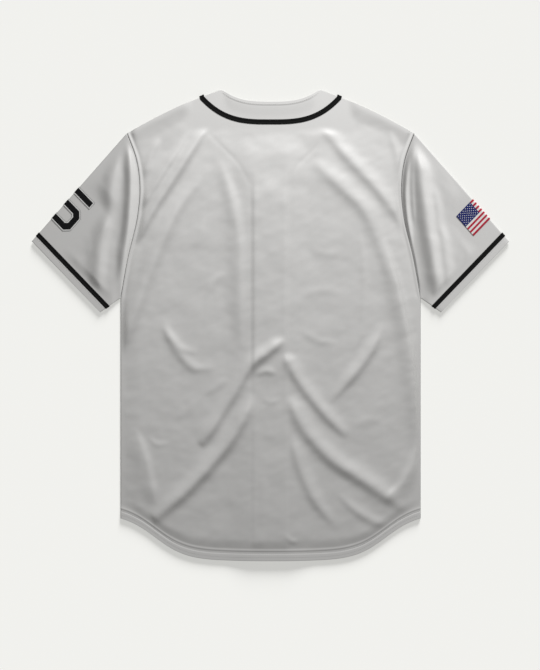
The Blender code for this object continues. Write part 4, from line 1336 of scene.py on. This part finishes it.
@dataclass
class ButtonRow:
    """Four-hole shirt buttons, sewn on with crossed thread."""

    finishes: Finishes
    radius: float = 0.007
    thickness: float = 0.00215
    hole: float = 0.0008
    hole_reach: float = 0.0016
    top: float = 0.232
    pitch: float = 0.105
    count: int = 6

    def lathe(self, height: float) -> bmesh.types.BMesh:
        """Turns one button's profile about its axis.

        Args:
            height: Place along the placket.

        Returns:
            The closed button, before its holes.
        """
        work = bmesh.new()
        r, t = self.radius, self.thickness
        profile = [(0.0, 0.0005), (0.62 * r, 0.0005), (0.74 * r, 0.0001), (0.9 * r, 0.0), (r, 0.0005),
                   (r, t - 0.0006), (0.93 * r, t), (0.0, t)]
        verts = [work.verts.new((x, 0.0, z)) for x, z in profile]
        edges = [work.edges.new(pair) for pair in zip(verts, verts[1:])]
        bmesh.ops.spin(work, geom=verts + edges, cent=(0, 0, 0), axis=(0, 0, 1), angle=2 * math.pi,
                       steps=40, use_merge=True)
        bmesh.ops.remove_doubles(work, verts=work.verts[:], dist=1e-6)
        bmesh.ops.recalc_face_normals(work, faces=work.faces[:])
        bmesh.ops.translate(work, verts=work.verts[:], vec=(0.0, height, STACK.floor_gap))
        return work

    def holes(self, height: float) -> list[tuple[float, float]]:
        """Places of a button's four holes."""
        reach = self.hole_reach
        return [(x * reach, height + y * reach) for x, y in ((-1, -1), (1, -1), (1, 1), (-1, 1))]

    def build(self) -> list[bpy.types.Object]:
        """Makes the buttons, cuts their holes and sews them on."""
        pieces = []
        for number in range(self.count):
            height = self.top - self.pitch * number
            piece = link(f"shirt_button_{number + 1}", self.lathe(height))
            drill = bmesh.new()
            for x, y in self.holes(height):
                bmesh.ops.create_cone(drill, cap_ends=True, segments=16, radius1=self.hole,
                                      radius2=self.hole, depth=4 * self.thickness,
                                      matrix=Matrix.Translation((x, y, self.thickness / 2)))
            cutter = link(f"drill_{number + 1}", drill)
            cut = piece.modifiers.new("holes", "BOOLEAN")
            cut.operation = "DIFFERENCE"
            cut.object = cutter
            graph = bpy.context.evaluated_depsgraph_get()
            cut_data = bpy.data.meshes.new_from_object(piece.evaluated_get(graph))
            piece.modifiers.clear()
            piece.data = cut_data
            bpy.data.objects.remove(cutter)
            dress(piece, "button", self.finishes.button)
            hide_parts(f"button_{number + 1}")
            pieces.append(piece)
        pieces.append(self.build_thread())
        return pieces

    def build_thread(self) -> bpy.types.Object:
        """Makes the crossed thread through every button, and its shank up to the cloth."""
        work = bmesh.new()
        for number in range(self.count):
            height = self.top - self.pitch * number
            corners = self.holes(height)
            for first, second in ((0, 2), (1, 3)):
                a, b = Vector((*corners[first], 0.0)), Vector((*corners[second], 0.0))
                low = STACK.floor_gap + 0.0005 + 0.0002 * first
                stitch(work, a, b, low, 0.00045, 0.00035)
            for x, y in corners:
                bmesh.ops.create_cone(work, cap_ends=True, segments=8, radius1=0.00032, radius2=0.00032,
                                      depth=self.thickness - 0.0003,
                                      matrix=Matrix.Translation((x, y, self.thickness / 2 + 0.0003)))
        piece = link("button_thread", work)
        return dress(piece, "button", self.finishes.thread)


def stitch(work: bmesh.types.BMesh, start: Vector, end: Vector, height: float, width: float,
           rise: float) -> None:
    """Adds one stitch: a short bar with rounded ends.

    Args:
        work: Mesh that takes it.
        start: One end, in plan.
        end: Other end, in plan.
        height: Height of its middle.
        width: Its width.
        rise: Its thickness.
    """
    run = end - start
    turn = Matrix.Rotation(math.atan2(run.y, run.x), 4, "Z")
    size = Matrix.Diagonal((run.length / 2, width / 2, rise / 2, 1.0))
    place = Matrix.Translation(Vector(((start.x + end.x) / 2, (start.y + end.y) / 2, height)))
    bmesh.ops.create_icosphere(work, subdivisions=1, radius=1.0, matrix=place @ turn @ size)


@dataclass
class Stitching:
    """Rows of topstitching on the hems and the neck edge."""

    back: BackPanel
    sleeves: tuple[SleeveTube, ...]
    finishes: Finishes
    pitch: float = 0.0036
    length: float = 0.0028
    width: float = 0.0006
    rise: float = 0.0004

    def run(self, work: bmesh.types.BMesh, points: Array) -> None:
        """Sews a row of stitches along points that are a pitch apart or closer."""
        steps = np.linalg.norm(np.diff(points, axis=0), axis=1)
        way = np.concatenate(((0.0,), np.cumsum(steps)))
        for start in np.arange(0.0, way[-1] - self.length, self.pitch):
            ends = [[float(np.interp(at, way, points[:, k])) for k in range(3)]
                    for at in (start, start + self.length)]
            a, b = Vector(ends[0]), Vector(ends[1])
            stitch(work, a.to_2d().to_3d(), b.to_2d().to_3d(), (a.z + b.z) / 2, self.width, self.rise)

    def build(self) -> list[bpy.types.Object]:
        """Sews the rows of the body and of each sleeve."""
        body = bmesh.new()
        for inset in (self.back.hem_band - 0.0018, self.back.hem_band - 0.0078):
            x = np.linspace(-PATTERN.half_chest + 0.003, PATTERN.half_chest - 0.003, 400)
            slope = np.gradient(PATTERN.hem(x), x)
            y = PATTERN.hem(x) + inset * np.sqrt(1 + slope ** 2)
            self.run(body, self.back.surface(x, y) + (0.0, 0.0, 0.0001))
        x = np.linspace(-0.082, 0.082, 200)
        neck = PATTERN.back_top(x) - 0.0050
        self.run(body, self.back.surface(x, neck) + (0.0, 0.0, 0.0001))
        pieces = [dress(link("body_stitching", body), "jersey_knit", self.finishes.thread)]
        for sleeve in self.sleeves:
            work = bmesh.new()
            around = np.linspace(sleeve.bend_columns + 1.5, sleeve.bend_columns + sleeve.top_columns - 1.5, 300)
            left = np.full_like(around, sleeve.braid_from_hem - 0.0022)
            self.run(work, sleeve.band(around, left, STACK.fold_radius + 0.0001))
            pieces.append(dress(link("stitching_" + sleeve.side.word, work), "jersey_knit",
                                self.finishes.thread))
        return pieces


@dataclass(frozen=True)
class Lamp:
    """A round soft lamp: its place, width and power."""

    name: str
    place: tuple[float, float, float]
    size: float
    power: float
    aim: tuple[float, float, float] = (0.0, 0.0, 0.0)
    colour: tuple[float, float, float] = (1.0, 1.0, 1.0)


@dataclass
class Studio:
    """Camera, floor and soft light of a plain product picture."""

    picture: tuple[int, int] = (540, 670)
    pixel: float = 0.00172
    middle: tuple[float, float] = (-0.001, -0.0171)
    distance: float = 3.2
    floor_size: float = 9.0
    floor_light: float = 8.0
    floor_light_from: tuple[float, float, float] = (0.2, 1.0, 0.36)

    def build_camera(self) -> None:
        """Looks straight down on the jersey, with the neck at the top of the picture."""
        data = bpy.data.cameras.new("camera")
        data.lens = data.sensor_width * self.distance / (self.picture[1] * self.pixel)
        data.clip_end = 50.0
        camera = bpy.data.objects.new("camera", data)
        camera.location = (*self.middle, self.distance)
        bpy.context.scene.collection.objects.link(camera)
        bpy.context.scene.camera = camera

    def build_floor(self) -> bpy.types.Object:
        """Lays a pale floor that takes soft shadows and is clear from below."""
        work = bmesh.new()
        bmesh.ops.create_grid(work, x_segments=1, y_segments=1, size=self.floor_size / 2)
        bmesh.ops.translate(work, verts=work.verts[:], vec=(0, 0, -0.0004))
        floor = link("floor", work, smooth=False)
        material = bpy.data.materials.new("pale_floor")
        material.use_nodes = True
        sheet = NodeSheet(material.node_tree)
        shader = material.node_tree.nodes["Principled BSDF"]
        shader.inputs["Base Color"].default_value = (0.36, 0.36, 0.35, 1.0)
        shader.inputs["Roughness"].default_value = 0.9
        shader.inputs["Specular IOR Level"].default_value = 0.0
        shader.inputs["Emission Color"].default_value = (1.0, 1.0, 0.965, 1.0)
        shader.inputs["Emission Strength"].default_value = 0.475
        clear = sheet.add("ShaderNodeBsdfTransparent")
        facing = sheet.add("ShaderNodeNewGeometry")
        mixed = sheet.add("ShaderNodeMixShader", {0: facing.outputs["Backfacing"],
                                                  1: shader.outputs[0], 2: clear.outputs[0]})
        output = material.node_tree.nodes["Material Output"]
        sheet.tree.links.new(mixed.outputs[0], output.inputs["Surface"])
        floor.data.materials.append(material)
        return floor

    def lit_group(self, name: str, pieces: Sequence[bpy.types.Object]) -> bpy.types.Collection:
        """Gathers the pieces that a lamp lights."""
        group = bpy.data.collections.new(name)
        for piece in pieces:
            group.objects.link(piece)
        return group

    def hang(self, lamp: Lamp, lit: bpy.types.Collection) -> None:
        """Hangs one soft lamp.

        Args:
            lamp: Its sizes.
            lit: The pieces that it lights.
        """
        data = bpy.data.lights.new(lamp.name, "AREA")
        data.shape = "DISK"
        data.size = lamp.size
        data.energy = lamp.power
        data.color = lamp.colour
        made = bpy.data.objects.new(lamp.name, data)
        made.location = lamp.place
        made.rotation_euler = (Vector(lamp.aim) - made.location).to_track_quat("-Z", "Y").to_euler()
        made.light_linking.receiver_collection = lit
        bpy.context.scene.collection.objects.link(made)

    def build_lights(self, floor: bpy.types.Object) -> None:
        """Hangs soft lamps over the neck, the cloth and the floor each with its own, and a pale surround.

        Args:
            floor: The floor, which the jersey's lamps leave out.
        """
        cloth = self.lit_group("lit_cloth", [piece for piece in bpy.context.scene.objects
                                             if piece.type == "MESH" and piece is not floor])
        ground = self.lit_group("lit_floor", [floor])
        arms = self.lit_group("lit_sleeves", [piece for piece in cloth.objects
                                              if piece.name.startswith(SLEEVE_PIECES)])
        for piece in arms.objects:
            cloth.objects.unlink(piece)
        self.hang(Lamp("key", (0.36, 1.60, 0.98), 0.7, 39.0), cloth)
        self.hang(Lamp("sleeve_key", (1.85, 2.25, 1.75), 1.2, 116.0), arms)
        sun = bpy.data.lights.new("floor_light", "SUN")
        sun.energy = self.floor_light
        sun.angle = 0.4
        made = bpy.data.objects.new("floor_light", sun)
        made.rotation_euler = Vector(self.floor_light_from).to_track_quat("Z", "Y").to_euler()
        made.light_linking.receiver_collection = ground
        bpy.context.scene.collection.objects.link(made)
        world = bpy.data.worlds.new("surround")
        world.use_nodes = True
        world.node_tree.nodes["Background"].inputs["Color"].default_value = (1.0, 0.995, 0.985, 1.0)
        world.node_tree.nodes["Background"].inputs["Strength"].default_value = 0.28
        bpy.context.scene.world = world
        bpy.context.scene.view_settings.view_transform = "Standard"

    def build(self) -> None:
        """Sets up the whole studio."""
        self.build_camera()
        self.build_lights(self.build_floor())


def main() -> None:
    """Builds the jersey's pieces, then the studio."""
    logging.basicConfig(level=logging.INFO, format="%(message)s")
    finishes = Finishes()
    back = BackPanel(finishes)
    back.build()
    for side in Side:
        FrontPanel(finishes, side=side).build()
    left = SleeveTube(Side.LEFT, LEFT_SLEEVE_CREASES, 0.1235, finishes)
    right = SleeveTube(Side.RIGHT, RIGHT_SLEEVE_CREASES, 0.0955, finishes)
    for sleeve in (left, right):
        sleeve.build_cloth()
        sleeve.build_braid()
    SleeveNumber(left, finishes).build()
    FlagPatch(right, finishes).build()
    NeckBraid(back, finishes).build()
    ButtonRow(finishes).build()
    Stitching(back, (left, right), finishes).build()
    Studio().build()
    bpy.context.view_layer.update()
    LOG.info("jersey of %s nodes dressed", len(frame["nodes"]))


if __name__ == "__main__":
    main()
